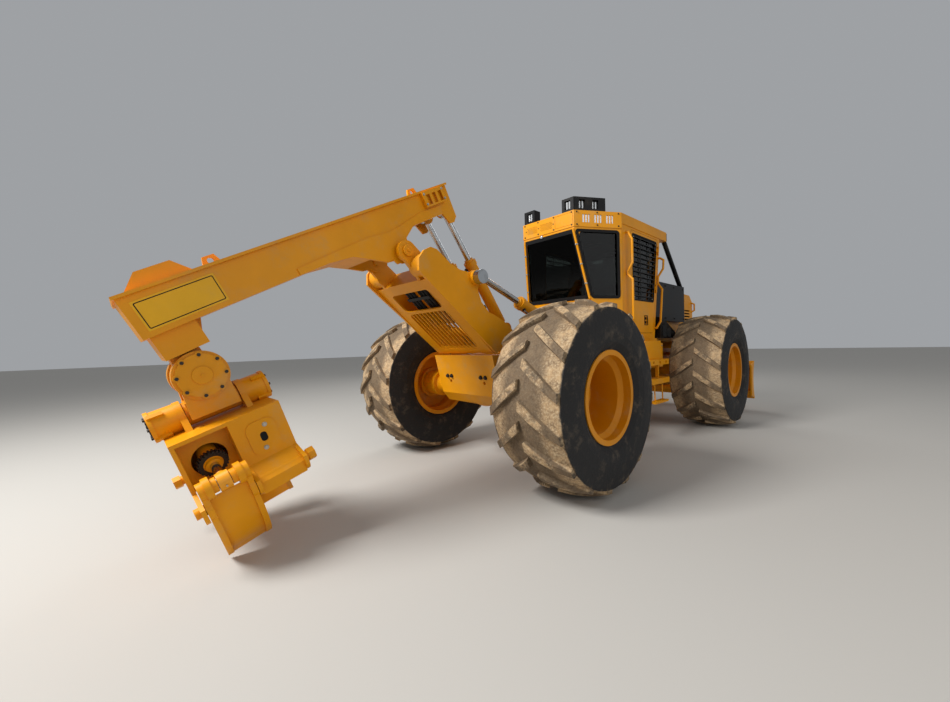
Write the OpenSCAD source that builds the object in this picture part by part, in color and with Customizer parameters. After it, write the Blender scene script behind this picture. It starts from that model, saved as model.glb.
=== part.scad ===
// Articulated grapple skidder: X forward, Y left, Z up, origin on the ground
// under the middle of the machine. All lengths are millimetres.

/* [Wheels] */
// Distance between the two axles
wheelbase = 4045; // [3900:5:4200]
// Rear axle along X
rear_axle_x = -1348; // [-1500:1:-1200]
// Middle of each wheel from the centre line
track_half = 1262; // [1220:1:1320]
// Outer diameter of a tyre over its lugs
tyre_d = 1830; // [1760:5:1880]
// Width of a tyre over its sidewalls
tyre_w = 775; // [700:5:800]
// Diameter over the rim flanges
rim_d = 864; // [820:2:900]
// Width of the rim over its flanges
rim_w = 686; // [640:2:710]
// Height of a tread lug
lug_h = 45; // [30:1:60]
// Width of a tread lug at its top
lug_w = 62; // [40:1:80]
// Tread lugs in each half of a tyre
lug_count = 16; // [12:1:18]
// Angle that a lug covers from the crown to the shoulder
lug_sweep = 17; // [10:1:24]
// Depth of the wheel disc inside the outer rim flange
dish_depth = 430; // [300:5:480]

/* [Chassis] */
// Articulation pivot ahead of the rear axle
hitch_x = 2020; // [1950:5:2100]
// Half width of the rear frame over its side plates
frame_half = 500; // [470:1:540]
// Thickness of the frame plates
frame_t = 30; // [20:1:40]
// Half width of the front frame
front_half = 420; // [380:1:450]
// Height of the top of the frames
frame_top = 1310; // [1280:5:1320]
// Height of the bottom of the frames
frame_bottom = 620; // [580:5:680]
// Radius of an axle tube
axle_r = 120; // [100:1:150]
// Diameter of the articulation pins
hitch_pin_d = 110; // [80:2:140]

/* [Arch] */
// Arch pivot ahead of the rear axle
arch_pivot_x = -60; // [-100:5:-20]
// Height of the arch pivot
arch_pivot_z = 1450; // [1430:5:1500]
// Lean of the arch from the horizontal
arch_lean = 40.8; // [38:0.1:44]
// Half width of the arch over its side plates
arch_half = 500; // [480:1:540]
// Thickness of the arch side plates
arch_t = 30; // [20:1:40]
// Diameter of the arch and boom pins
main_pin_d = 90; // [70:2:110]

/* [Boom] */
// Slope of the boom down to the rear
boom_slope = 28; // [20:0.5:35]
// Boom length from its pivot to its tip
boom_reach = 2010; // [1900:5:2100]
// Height of the boom top plate over the pivot
boom_top = 445; // [420:1:470]
// Half width of the boom over its webs
boom_half = 250; // [230:1:260]
// Half width of the boom top plate
boom_flange_half = 280; // [262:1:288]
// Thickness of the boom plates
boom_t = 20; // [12:1:25]
// Rotator axis along the boom from the boom pivot
rotator_u = 1850; // [1780:5:1900]

/* [Grapple] */
// Lean of the grapple from the vertical
grapple_lean = 19; // [0:1:24]
// Radius of the swing housing discs
swing_r = 165; // [150:1:180]
// Height from the swing pin down to the sway pin
sway_drop = 235; // [230:1:260]
// Half length of the grapple head
head_half_x = 330; // [300:1:360]
// Half width of the grapple head
head_half_y = 360; // [340:1:380]
// Thickness of the grapple plates
grapple_t = 25; // [16:1:30]
// Half distance between the tong pins
tong_pin_y = 430; // [410:1:450]
// Depth of the tong pins under the swing pin
tong_pin_drop = 770; // [750:1:790]
// Diameter of the tong pins
tong_pin_d = 70; // [50:2:80]
// Outer radius of the tong's curve
tong_r = 480; // [460:1:500]

/* [Cab] */
// Height of the cab floor over the ground
cab_floor = 1460; // [1440:5:1480]
// Height of the underside of the roof
cab_top = 2990; // [2950:5:3050]
// Half width of the cab
cab_half = 790; // [760:1:800]
// Thickness of the cab walls
cab_wall = 45; // [30:1:60]
// Rise of the side walls and doors over the rear wall
side_rise = 75; // [50:1:100]
// Lean of the cab's front from the vertical
cab_lean = 9.2; // [5:0.1:14]
// Width of the post between a door and the cab's front
door_post = 62; // [50:1:80]
// Margin of a window inside its wall or door
window_margin = 46; // [35:1:60]
// Height of the roof cap
roof_h = 220; // [180:1:240]
// Front of the roof ahead of the rear axle
roof_front_x = 3470; // [3350:5:3550]
// Thickness of the window glass
glass_t = 8; // [5:1:10]

/* [Blade] */
// Half width of the blade
blade_half = 1480; // [1400:5:1500]
// Height of the blade
blade_h = 720; // [600:5:800]
// Clear height of the blade over the ground
blade_lift = 240; // [150:5:300]
// Front of the blade ahead of the front axle
blade_reach = 1905; // [1850:5:1950]

/* [Cylinders] */
// Outer diameter of the arch and boom cylinders
main_cyl_d = 130; // [110:2:140]
// Rod diameter of the arch and boom cylinders
main_rod_d = 65; // [50:1:75]
// Outer diameter of the steering and blade cylinders
small_cyl_d = 95; // [80:1:100]
// Rod diameter of the steering and blade cylinders
small_rod_d = 50; // [40:1:60]
// Outer diameter of the tong cylinders
tong_cyl_d = 118; // [100:1:120]
// Rod diameter of the tong cylinders
tong_rod_d = 56; // [45:1:60]

/* [Hidden] */
$fn = 48;
yellow = "#e8a317";
black = "#1c1c1e";
steel = "#b9bcc0";
rubber = "#2a2826";
grey = "#8c8f92";
tyre_r = tyre_d / 2;
rim_r = rim_d / 2;
front_axle_x = rear_axle_x + wheelbase;
hitch = rear_axle_x + hitch_x;
// Running gap between a pin and its bore, and side gap of an eye
fit = 0.05;
side_gap = 4;
seat = 0.3;

// Arch: its lower rear corner, and its own axes a (up the arch) and b (forward)
arch_foot = [rear_axle_x - 300, 1327];
arch_pivot = [rear_axle_x + arch_pivot_x, arch_pivot_z];
boom_pivot_a = 1388;
boom_pivot_b = 82;
function on_arch(a, b) = arch_foot + a * [-cos(arch_lean), sin(arch_lean)]
    + b * [sin(arch_lean), cos(arch_lean)];
boom_pivot = on_arch(boom_pivot_a, boom_pivot_b);
// Boom: its own axes u (towards the tip) and v (up)
function on_boom(u, v) = boom_pivot + u * [-cos(boom_slope), -sin(boom_slope)]
    + v * [-sin(boom_slope), cos(boom_slope)];

// Pins of the cylinders: base and rod eye, in the plane of travel
boom_rod_uv = [-750, 210];
boom_rod_pin = on_boom(boom_rod_uv[0], boom_rod_uv[1]);
boom_base_ab = [-150, 503];
boom_base_pin = on_arch(boom_base_ab[0], boom_base_ab[1]);
boom_cyl_y = 165;
arch_rod_ab = [737, 377];
arch_rod_pin = on_arch(arch_rod_ab[0], arch_rod_ab[1]);
arch_base_pin = [rear_axle_x + 950, 1475];
arch_cyl_y = 580;
steer_base = [hitch - 950, 400];
steer_rod = [hitch + 200, 335];
steer_z = 930;
blade_pin = [front_axle_x + 690, 640];
blade_rod_pin = [front_axle_x + 1700, 850];
blade_base_pin = [front_axle_x + 420, 1290];
blade_cyl_y = 620;
blade_pin_r = 34;

// Grapple: swing pin on the rotator axis, then the grapple's own leaning axes
swing_v = -185;
swing_pin = on_boom(rotator_u, swing_v);
eye_w = 70;
eye_r = 70;

// Frames of reference
module rear_base() { translate([rear_axle_x, 0, 0]) children(); }
module front_base() { translate([front_axle_x, 0, 0]) children(); }
module arch_frame() {
    translate([arch_foot[0], 0, arch_foot[1]]) rotate([0, arch_lean, 0])
        rotate([0, 0, 180]) children();
}
module boom_frame() {
    translate([boom_pivot[0], 0, boom_pivot[1]]) rotate([0, -boom_slope, 0])
        rotate([0, 0, 180]) children();
}
module grapple_frame() {
    translate([swing_pin[0], 0, swing_pin[1]]) rotate([0, -grapple_lean, 0]) children();
}
module both_sides() {
    children();
    mirror([0, 1, 0]) children();
}

// A plate of thickness t, centred at y, from an outline drawn in X and Z
module plate(y, t) {
    translate([0, y + t / 2, 0]) rotate([90, 0, 0]) linear_extrude(t) children();
}
// A plate across the machine, of half width w, from an outline in X and Z
module across(w) { plate(0, 2 * w) children(); }
// A plate of thickness t, centred at x, from an outline drawn in Y and Z
module bulkhead(x, t) {
    translate([x - t / 2, 0, 0]) rotate([90, 0, 90]) linear_extrude(t) children();
}
module cyl_y(r, w) { rotate([90, 0, 0]) cylinder(r = r, h = w, center = true); }
module cyl_x(r, w) { rotate([0, 90, 0]) cylinder(r = r, h = w, center = true); }
module rod_between(p, q, r) {
    d = q - p;
    translate(p) rotate([0, acos(d[2] / norm(d)), atan2(d[1], d[0])])
        cylinder(r = r, h = norm(d));
}
function arc(c, r, a0, a1, n) =
    [for (i = [0:n]) c + r * [cos(a0 + (a1 - a0) * i / n), sin(a0 + (a1 - a0) * i / n)]];
module box(x0, x1, y0, y1, z0, z1) {
    translate([x0, y0, z0]) cube([x1 - x0, y1 - y0, z1 - z0]);
}

// Hydraulic cylinders. The barrel lies along X from its base pin at the origin;
// the rod runs back from its eye pin at the origin into the barrel.
pin_share = 0.55;
module base_pin(base_r, w) { cyl_y(base_r * pin_share, w); }
module barrel(length, od, rod_d, base_r, base_w) {
    neck = base_r + 22;
    difference() {
        union() {
            cyl_y(base_r, base_w);
            translate([base_r * 0.6, 0, 0]) rotate([0, 90, 0])
                cylinder(d = base_w - 2, h = neck - base_r * 0.6 + 1);
            translate([neck, 0, 0]) rotate([0, 90, 0])
                cylinder(d = od, h = length - neck - 60);
            translate([length - 75, 0, 0]) rotate([0, 90, 0])
                cylinder(d = od + 16, h = 50);
            translate([length - 26, 0, 0]) rotate([0, 90, 0])
                cylinder(d = od * 0.8, h = 26);
        }
        translate([neck + 15, 0, 0]) rotate([0, 90, 0])
            cylinder(d = rod_d + 2 * seat, h = length);
        cyl_y(base_r * pin_share + fit, base_w + 2);
    }
}
module rod(length, rod_d, rod_eye_r, rod_eye_w) {
    cyl_y(rod_eye_r, rod_eye_w);
    translate([-length, 0, 0]) rotate([0, 90, 0])
        cylinder(d = rod_d, h = length - rod_eye_r * 0.7);
    translate([-rod_eye_r - 30, 0, 0]) rotate([0, 90, 0])
        cylinder(d = rod_eye_w - 4, h = rod_eye_r * 0.5 + 30);
}
// Places a cylinder part that lies along X so that it runs from p towards q,
// both given in X and Z, at the side y
module along_xz(p, q, y) {
    d = q - p;
    translate([p[0], y, p[1]]) rotate([0, -atan2(d[1], d[0]), 0]) children();
}
function span(p, q) = norm(q - p);
// A round bar through points, with balls a little larger than the bar at its bends
module bent_bar(points, r) {
    n = len(points);
    for (i = [1:n - 1]) rod_between(points[i - 1], points[i], r);
    for (i = [1:n - 2]) translate(points[i]) sphere(r = r + 0.6, $fn = 24);
}

// Wheels
tread_base = tyre_r - lug_h;
shoulder_drop = 55;
tyre_wall = 38;
function tread_z(y) = tread_base - shoulder_drop * pow(abs(y) / (tyre_w / 2), 2.2);
tyre_half = [
    [rim_r - 34, rim_w / 2 - 14], [rim_r + 12, rim_w / 2 - 12],
    [rim_r + 70, tyre_w / 2 - 16], [rim_r + 150, tyre_w / 2],
    [rim_r + 240, tyre_w / 2 - 4], [tread_base - shoulder_drop, tyre_w / 2 - 22],
    [tread_base - shoulder_drop * 0.35, tyre_w * 0.3], [tread_base, tyre_w * 0.1]];
module tyre_profile() {
    n = len(tyre_half);
    outer = concat(tyre_half, [for (i = [n - 1:-1:0]) [tyre_half[i][0], -tyre_half[i][1]]]);
    inner_w = tyre_w / 2 - tyre_wall;
    difference() {
        polygon(outer);
        polygon([
            [rim_r - 40, -(rim_w / 2 - 64)], [rim_r + 30, -(inner_w - 20)],
            [rim_r + 150, -inner_w], [tread_base - 120, -inner_w],
            [tread_base - 60, -tyre_w * 0.28], [tread_base - 60, tyre_w * 0.28],
            [tread_base - 120, inner_w], [rim_r + 150, inner_w],
            [rim_r + 30, inner_w - 20], [rim_r - 40, rim_w / 2 - 64]]);
    }
}
lug_stations = 3;
lug_start = 12;
lug_end = tyre_w / 2 - 32;
function lug_point(side, t, da, r) = let (
        y = side * (lug_start + t * (lug_end - lug_start)), a = lug_sweep * t + da)
    [r * cos(a), r * sin(a), y];
// Half of the angle under a lug's top: its flat crown touches the ground
lug_top_a = lug_w / 2 / cos(38) / tyre_r * 180 / PI;
function lug_top(t) = tyre_r / cos(lug_top_a) - (shoulder_drop + 12) * pow(t * 0.94, 2.2);
function lug_base(t) = tread_base - shoulder_drop * pow(t * 0.94, 2.2) - 14;
module lug(side) {
    base_a = lug_top_a * 1.35;
    points = [for (i = [0:lug_stations]) let (t = i / lug_stations) each [
        lug_point(side, t, -base_a, lug_base(t)), lug_point(side, t, base_a, lug_base(t)),
        lug_point(side, t, lug_top_a, lug_top(t)), lug_point(side, t, -lug_top_a, lug_top(t))]];
    last = 4 * lug_stations;
    sides = [for (i = [0:lug_stations - 1]) for (j = [0:3]) let (k = (j + 1) % 4)
        each [[4 * i + j, 4 * i + k, 4 * i + 4 + k], [4 * i + j, 4 * i + 4 + k, 4 * i + 4 + j]]];
    faces = concat([[3, 2, 1, 0]], sides, [[last, last + 1, last + 2, last + 3]]);
    polyhedron(points, side > 0 ? faces : [for (f = faces) [for (i = [len(f) - 1:-1:0]) f[i]]]);
}
module tyre(x, side) {
    color(rubber) translate([x, side * track_half, tyre_r]) rotate([90, 0, 0]) {
        rotate_extrude($fn = 96) tyre_profile();
        for (i = [0:lug_count - 1]) {
            rotate([0, 0, i * 360 / lug_count]) lug(1);
            rotate([0, 0, (i + 0.5) * 360 / lug_count]) lug(-1);
        }
    }
}
disc_t = 25;
hub_r = 205;
module rim(x, side) {
    outer = rim_w / 2;
    disc_y = outer - dish_depth;
    color(yellow) translate([x, side * track_half, tyre_r]) rotate([side > 0 ? -90 : 90, 0, 0]) {
        rotate_extrude($fn = 96) polygon([
            [rim_r, outer], [rim_r, outer - 12], [rim_r - 36, outer - 14],
            [rim_r - 36, outer - 66], [rim_r - 70, outer - 110],
            [rim_r - 70, -outer + 110], [rim_r - 36, -outer + 66],
            [rim_r - 36, -outer + 14], [rim_r, -outer + 12], [rim_r, -outer],
            [rim_r - 48, -outer], [rim_r - 48, -outer + 74], [rim_r - 84, -outer + 118],
            [rim_r - 84, disc_y - disc_t], [150, disc_y - disc_t], [150, disc_y],
            [rim_r - 100, disc_y], [rim_r - 84, disc_y + 20],
            [rim_r - 84, outer - 118], [rim_r - 48, outer - 74], [rim_r - 48, outer]]);
        difference() {
            union() {
                translate([0, 0, disc_y - disc_t - hub_back]) cylinder(r = hub_r, h = hub_back + 1);
                translate([0, 0, disc_y - disc_t]) cylinder(r = 151, h = disc_t);
                translate([0, 0, disc_y - 1]) cylinder(r = hub_r - 40, h = 120);
            }
            translate([0, 0, disc_y - disc_t - hub_back - 1])
                cylinder(r = spindle_r + fit, h = spindle_in + 4);
        }
        translate([0, 0, disc_y + 119]) cylinder(r = 60, h = 30);
    }
}

// Rear frame and axle
arch_ear_y = 445;
steer_base_x = steer_base[0] - rear_axle_x;
module rear_outline() {
    difference() {
        polygon([
            [-400, frame_top], [-281, 848], [-183, 741], [300, frame_bottom],
            [1150, frame_bottom], [1300, frame_bottom + 90], [1300, frame_top - 80],
            [1150, frame_top], [1050, frame_top + 120]
            , [850, frame_top + 120], [760, frame_top]]);
        translate([0, tyre_r]) circle(axle_r + seat);
    }
}
module rear_chassis() {
    color(yellow) rear_base() {
        inner = frame_half - frame_t;
        difference() {
            union() {
                both_sides() plate(frame_half - frame_t / 2, frame_t) rear_outline();
                difference() {
                    // rear, top and bottom skins between the side plates
                    across(inner + 1) polygon([
                        [-400, frame_top], [-281, 848], [-183, 741], [300, frame_bottom],
                        [1250, frame_bottom], [1250, frame_top], [-400, frame_top]]);
                    across(inner - 1) polygon([
                        [-400 + frame_t + 4, frame_top - frame_t], [-281 + frame_t + 2, 860],
                        [-170, 741 + frame_t], [310, frame_bottom + frame_t],
                        [1250 - frame_t, frame_bottom + frame_t],
                        [1250 - frame_t, frame_top - frame_t]]);
                    box(-220, 700, -370, 370, frame_top - 100, frame_top + 10);
                    box(0, 400, -axle_r - 180, axle_r + 180, frame_bottom - 10, frame_bottom + 60);
                    // opening for the drive shaft in the front wall
                    translate([1240, 0, 930]) cyl_x(150, 100);
                    both_sides() box(1200, 1260, 285, frame_half - frame_t - 6, 860, 1000);
                    translate([0, 0, tyre_r]) cyl_y(axle_r + seat, 2 * frame_half);
                    translate([0, 0, tyre_r]) cyl_y(diff_r + 10, 500);
                }
            }
            // two groups of three holes in the rear wall
            for (s = [-1, 1]) for (a = [30, 150, 270])
                translate([-345, s * 290 + 42 * cos(a), 1040 + 42 * sin(a)]) cyl_x(19, 300);
        }
        // ears that carry the arch, inside its side plates
        both_sides() plate(arch_ear_y, 30) difference() {
            union() {
                translate([arch_pivot_x, arch_pivot_z]) circle(85);
                polygon([[arch_pivot_x - 84, arch_pivot_z], [arch_pivot_x - 130, frame_top - frame_t],
                    [arch_pivot_x + 130, frame_top - frame_t], [arch_pivot_x + 84, arch_pivot_z]]);
            }
            translate([arch_pivot_x, arch_pivot_z]) circle(main_pin_d / 2 + fit);
        }
        // outer clevis cheeks of the arch cylinders
        both_sides() {
            translate([950, arch_cyl_y + eye_w / 2 + side_gap + 15, 1475]) cyl_y(60, 30);
            plate(arch_cyl_y + eye_w / 2 + side_gap + 15, 30) polygon([
                [890, 1475], [850, 1230], [1050, 1230], [1010, 1475]]);
            box(850, 1050, frame_half - 1, arch_cyl_y + eye_w / 2 + side_gap + 30, 1200, 1230);
            translate([950, frame_half + 19 - 10, 1475])
                cyl_y(60, arch_cyl_y - eye_w / 2 - side_gap - frame_half + 18);
            translate([950, arch_cyl_y, 1475]) base_pin(eye_r, 150);
        }
        // articulation forks
        for (z = [frame_bottom + 30, frame_top - 90]) translate([0, 0, z]) {
            difference() {
                union() {
                    box(1240, hitch_x - 60, -200, 200, -30, 30);
                    translate([hitch_x, 0, -30]) cylinder(r = 140, h = 60);
                    translate([hitch_x - 65, -140, -30]) cube([65, 280, 60]);
                }
                translate([hitch_x, 0, -31]) cylinder(d = hitch_pin_d + 2 * fit, h = 62);
            }
        }
        for (s = [-1, 1]) plate(s * 185, 30) polygon([
            [1240, frame_bottom + 40], [1560, frame_bottom + 40], [1440, 800],
            [1440, 1080], [1560, frame_top - 100], [1240, frame_top - 100]]);
        // steering cylinder brackets
        both_sides() {
            for (z = [steer_z - 60, steer_z + 36]) translate([0, 0, z]) {
                translate([steer_base_x, steer_base[1], 0]) cylinder(r = 48, h = 24);
                box(steer_base_x - 90, steer_base_x + 20, steer_base[1] - 40, frame_half - 1, 0, 24);
            }
            translate([steer_base_x, steer_base[1], steer_z - 50]) cylinder(r = 45 * pin_share, h = 100);
        }
    }
}
diff_r = 235;
module axle_housing() {
    cyl_y(axle_r, 2 * (track_half - 350));
    sphere(r = diff_r);
    translate([150, 0, 0]) cyl_x(120, 260);
}
module rear_axle() {
    // its shaft ends in the universal joint on the articulation axis
    color(yellow) rear_base() translate([0, 0, tyre_r]) {
        axle_set();
        drive_shaft(hitch_x - 290);
        translate([hitch_x, 0, 0]) sphere(r = joint_r);
    }
}
hub_gap = 8;
hub_back = 60;
axle_end = track_half + rim_w / 2 - dish_depth - disc_t - hub_back - hub_gap;
spindle_r = 70;
spindle_in = 100;
shaft_r = 42;
joint_r = 62;
module drive_shaft(reach) {
    translate([270 + reach / 2, 0, 0]) cyl_x(shaft_r, reach + 20);
    translate([300, 0, 0]) cyl_x(shaft_r + 28, 40);
}
module axle_set() {
    axle_housing();
    both_sides() {
        drive_start = track_half - 410;
        translate([0, (drive_start + axle_end) / 2, 0]) cyl_y(170, axle_end - drive_start);
        // spindle on which the wheel hub turns
        translate([0, axle_end + (hub_gap + spindle_in) / 2 - 1, 0])
            cyl_y(spindle_r, hub_gap + spindle_in + 2);
    }
}

// Front frame and axle
module front_chassis() {
    color(yellow) {
        translate([hitch, 0, 0]) {
            // tongues between the rear forks, with the articulation pins
            for (z = [frame_bottom + 30 + 64, frame_top - 90 - 64]) translate([0, 0, z]) {
                translate([0, 0, -30]) cylinder(r = 130, h = 60);
                box(0, 345 + frame_t / 2, -130, 130, -30, 30);
            }
            for (z = [frame_bottom - 20, frame_top - 90 - 66])
                translate([0, 0, z]) cylinder(d = hitch_pin_d, h = 176);
        }
        x0 = hitch + 345;
        x1 = front_axle_x + 1120;
        difference() {
            union() {
                both_sides() plate(front_half - frame_t / 2, frame_t) polygon([
                    [x0 + 60, frame_top], [x0 + 60, frame_bottom + 60],
                    [front_axle_x - 500, frame_bottom], [front_axle_x + 700, frame_bottom - 60],
                    [x1 - 420, frame_bottom - 60], [x1 - 300, 900], [x1, 1150], [x1, 1500],
                    [x1 - 50, 1500], [x1 - 50, frame_top]]);
                across(front_half - frame_t + 1) polygon([
                    [x0, frame_top], [x0, frame_bottom + 60], [front_axle_x - 500, frame_bottom],
                    [front_axle_x + 600, frame_bottom - 30], [x1 - 300, 900], [x1, 1150],
                    [x1, frame_top - 20]]);
            }
            across(front_half - frame_t - 1) polygon([
                [x0 + frame_t, frame_top + 50], [x0 + frame_t, frame_bottom + 60 + frame_t],
                [front_axle_x - 500, frame_bottom + frame_t],
                [front_axle_x + 600, frame_bottom - 30 + frame_t], [x1 - 300 - frame_t, 910],
                [x1 - 60, 1160], [x1 - 60, frame_top + 50]]);
            translate([front_axle_x, 0, tyre_r]) cyl_y(axle_r + seat, 2 * front_half + 10);
            // hole for the drive shaft in the rear wall
            translate([x0 + 10, 0, tyre_r]) cyl_x(shaft_r + 40, 120);
        }
        // pivot brackets of the steering rods, seated on the rear wall
        both_sides() for (z = [steer_z - 60, steer_z + 36]) translate([0, 0, z]) {
            translate([steer_rod[0], steer_rod[1], 0]) cylinder(r = 45, h = 24);
            box(steer_rod[0], x0 - seat, steer_rod[1] - 44, steer_rod[1] + 44, 0, 24);
        }
        // floor of the cab and deck, seated on two rails of the frame
        under_floor = cab_floor - 40;
        box(hitch - 380, x0 + 700, -cab_half + 2, cab_half - 2, under_floor, cab_floor - seat);
        both_sides() box(x0 + 40, x0 + 640, front_half - 40, front_half - 1, frame_top - 20,
            under_floor - seat);
        // outriggers under the hood, a nose plate and cross members under the engine
        both_sides() for (x = [hood_x0 + 4, front_axle_x - 40])
            box(x, x + 90, front_half - 10, hood_half, frame_top - 30, hood_foot - seat);
        box(hood_x1 - 70, hood_x1 - 10, -front_half + 5, front_half - 5, frame_top - 30,
            hood_foot - seat);
        // blocks under the cab's mounts
        both_sides() box(rear_axle_x + 2000, hanger_x - seat, front_half - 40, cab_half - 50,
            frame_top - 20, under_floor - seat);
        for (x = [engine_x0 + 60, engine_x1 - 160])
            box(x, x + 100, -front_half + 5, front_half - 5, engine_foot - 50, engine_foot - seat);
        // blade pivots and cylinder feet
        both_sides() {
            plate(front_half + 30, 62) difference() {
                union() {
                    translate(blade_pin) circle(75);
                    polygon([blade_pin + [-75, 0], blade_pin + [-160, 160],
                        blade_pin + [10, 190], blade_pin + [75, 0]]);
                }
                translate(blade_pin) circle(blade_pin_r + fit);
            }
        }
        both_sides() {
            for (s = [-1, 1]) plate(blade_cyl_y + s * (32 + side_gap + 12), 24) union() {
                translate(blade_base_pin) circle(50);
                polygon([blade_base_pin + [-50, 0], blade_base_pin + [-110, -150],
                    blade_base_pin + [0, -150], blade_base_pin + [45, -20]]);
            }
            translate([blade_base_pin[0], blade_cyl_y, blade_base_pin[1]]) base_pin(45, 124);
            box(blade_base_pin[0] - 105, blade_base_pin[0] + 10, front_half - 1, blade_cyl_y + 60,
                blade_base_pin[1] - 150, blade_base_pin[1] - 90);
        }
    }
}
module front_axle() {
    color(yellow) front_base() translate([0, 0, tyre_r]) rotate([0, 0, 180]) {
        axle_set();
        drive_shaft(front_axle_x - hitch - joint_r - 290);
    }
}

// Engine, hood and front guard
hood_x0 = rear_axle_x + 3110;
hood_x1 = front_axle_x + 1045;
hood_top = 2345;
hood_front_top = 2285;
hood_half = 655;
hood_t = 20;
hood_foot = cab_floor - 60;
engine_x0 = hood_x0 + 250;
engine_x1 = hood_x1 - 450;
engine_foot = 1190;
module engine_block() {
    color(grey) box(engine_x0, engine_x1, -300, 300, engine_foot, 2050);
}
module hood_section(t) {
    polygon([
        [hood_x0 + t, hood_foot - t / 2], [hood_x0 + t, hood_top - t],
        [hood_x1 - 150, hood_front_top - t], [hood_x1 - t, hood_front_top - 130 - t / 4],
        [hood_x1 - t, hood_foot - t / 2]]);
}
module hood() {
    color(yellow) {
        difference() {
            across(hood_half) hood_section(0);
            across(hood_half - hood_t) hood_section(hood_t);
            // cooling air openings in the front and the sides
            for (i = [0:8]) for (s = [-1, 1])
                box(hood_x1 - 60, hood_x1 + 10, s > 0 ? 12 : -520, s > 0 ? 520 : -12,
                    1520 + i * 68, 1556 + i * 68);
            for (i = [0:6]) translate([hood_x1 - 420, 0, 1640 + i * 55])
                box(0, 280, -hood_half - 5, hood_half + 5, 0, 26);
        }
        // raised seam across the top and rails along its edges
        across(hood_half - 60) polygon([
            [hood_x0 + 40, hood_top - 10], [hood_x0 + 40, hood_top + 22],
            [hood_x0 + 80, hood_top + 22], [hood_x0 + 80, hood_top - 10]]);
        // exhaust stack
        translate([hood_x0 + 560, -330, hood_top - 50]) difference() {
            cylinder(r = 62, h = 330);
            translate([0, 0, 60]) cylinder(r = 54, h = 300);
        }
        // bulging rail at each front corner
        for (s = [-1, 1]) {
            x = hood_x1 - 70;
            bent_bar([[x, s * (hood_half - 5), 2150], [x + 35, s * (hood_half + 50), 2120],
                [x + 35, s * (hood_half + 50), 2000], [x, s * (hood_half - 5), 1960]], 14);
        }
    }
}

// Cab
cab_rear_top = rear_axle_x + 1290;
cab_rear_bottom = rear_axle_x + 1610;
cab_front_foot = rear_axle_x + 2955;
hanger_x = rear_axle_x + 2150;
cab_side_x = rear_axle_x + 1907;
rear_half = 440;
side_top = cab_top + side_rise;
rise_x = cab_side_x + 20;
door_x0 = rear_axle_x + 2190;
door_z0 = cab_floor + 80;
door_z1 = side_top - 30;
door_gap = 6;
roof_front = rear_axle_x + roof_front_x;
chamfer_angle = atan2(cab_half - rear_half, cab_side_x - cab_rear_top);
chamfer_len = norm([cab_half - rear_half, cab_side_x - cab_rear_top]);
// Leaning rear wall, front wall and front edge of the doors, at a height z
function rear_x(z) = cab_rear_bottom
    + (cab_rear_top - 4 - cab_rear_bottom) * (z - cab_floor) / (cab_top - cab_floor);
function front_x(z) = cab_front_foot + (z - cab_floor) * tan(cab_lean);
function door_front(z) = front_x(z) - door_post;
// Rear corner at a height z: half width there, and distance along the slanted corner wall
function rear_half_at(z) = rear_half + (rear_x(z) - cab_rear_top) * tan(chamfer_angle);
function chamfer_start(z) = (rear_x(z) - cab_rear_top) / cos(chamfer_angle);
// Corners of an outline rounded with radius r, as arcs of n chords
function rounded_outline(pts, r, n = 5) = let (k = len(pts)) [for (i = [0:k - 1]) let (
        p = pts[i], a = pts[(i + k - 1) % k] - p, b = pts[(i + 1) % k] - p,
        ua = a / norm(a), ub = b / norm(b), half = acos(ua * ub) / 2,
        c = p + (ua + ub) / norm(ua + ub) * r / sin(half),
        t0 = p + ua * r / tan(half) - c, t1 = p + ub * r / tan(half) - c,
        a0 = atan2(t0[1], t0[0]), d = atan2(t1[1], t1[0]) - a0,
        turn = d > 180 ? d - 360 : (d < -180 ? d + 360 : d))
    each [for (j = [0:n]) c + r * [cos(a0 + turn * j / n), sin(a0 + turn * j / n)]]];
module cab_plan(s, front) {
    polygon([
        [cab_rear_top + s, -rear_half + s * 0.2], [cab_side_x + s * 0.3, -cab_half + s],
        [front, -cab_half + s], [front, cab_half - s],
        [cab_side_x + s * 0.3, cab_half - s], [cab_rear_top + s, rear_half - s * 0.2]]);
}
module cab_body(inset, z0, z1) {
    top = z1 + side_rise;
    lean_in = inset / cos(cab_lean);
    intersection() {
        translate([0, 0, z0]) linear_extrude(top - z0) cab_plan(inset, front_x(top) + 60);
        across(cab_half + 10) polygon([
            [rear_x(z0 - 10) + inset * 1.02, z0 - 10], [rear_x(z1) + inset * 1.02, z1],
            [rise_x + inset, z1], [rise_x + inset, top + 10],
            [front_x(top + 10) - lean_in, top + 10], [front_x(z0 - 10) - lean_in, z0 - 10]]);
    }
}
module rounded(w, h, r) {
    polygon(rounded_outline([[0, 0], [w, 0], [w, h], [0, h]], r));
}
sill_z = 2050;
window_top = cab_top - 60;
module chamfer_frame(side) {
    // X along the slanted rear corner from its rear end, Z up, Y outwards
    translate([cab_rear_top, side * rear_half, 0]) rotate([0, 0, side * chamfer_angle]) children();
}
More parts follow.
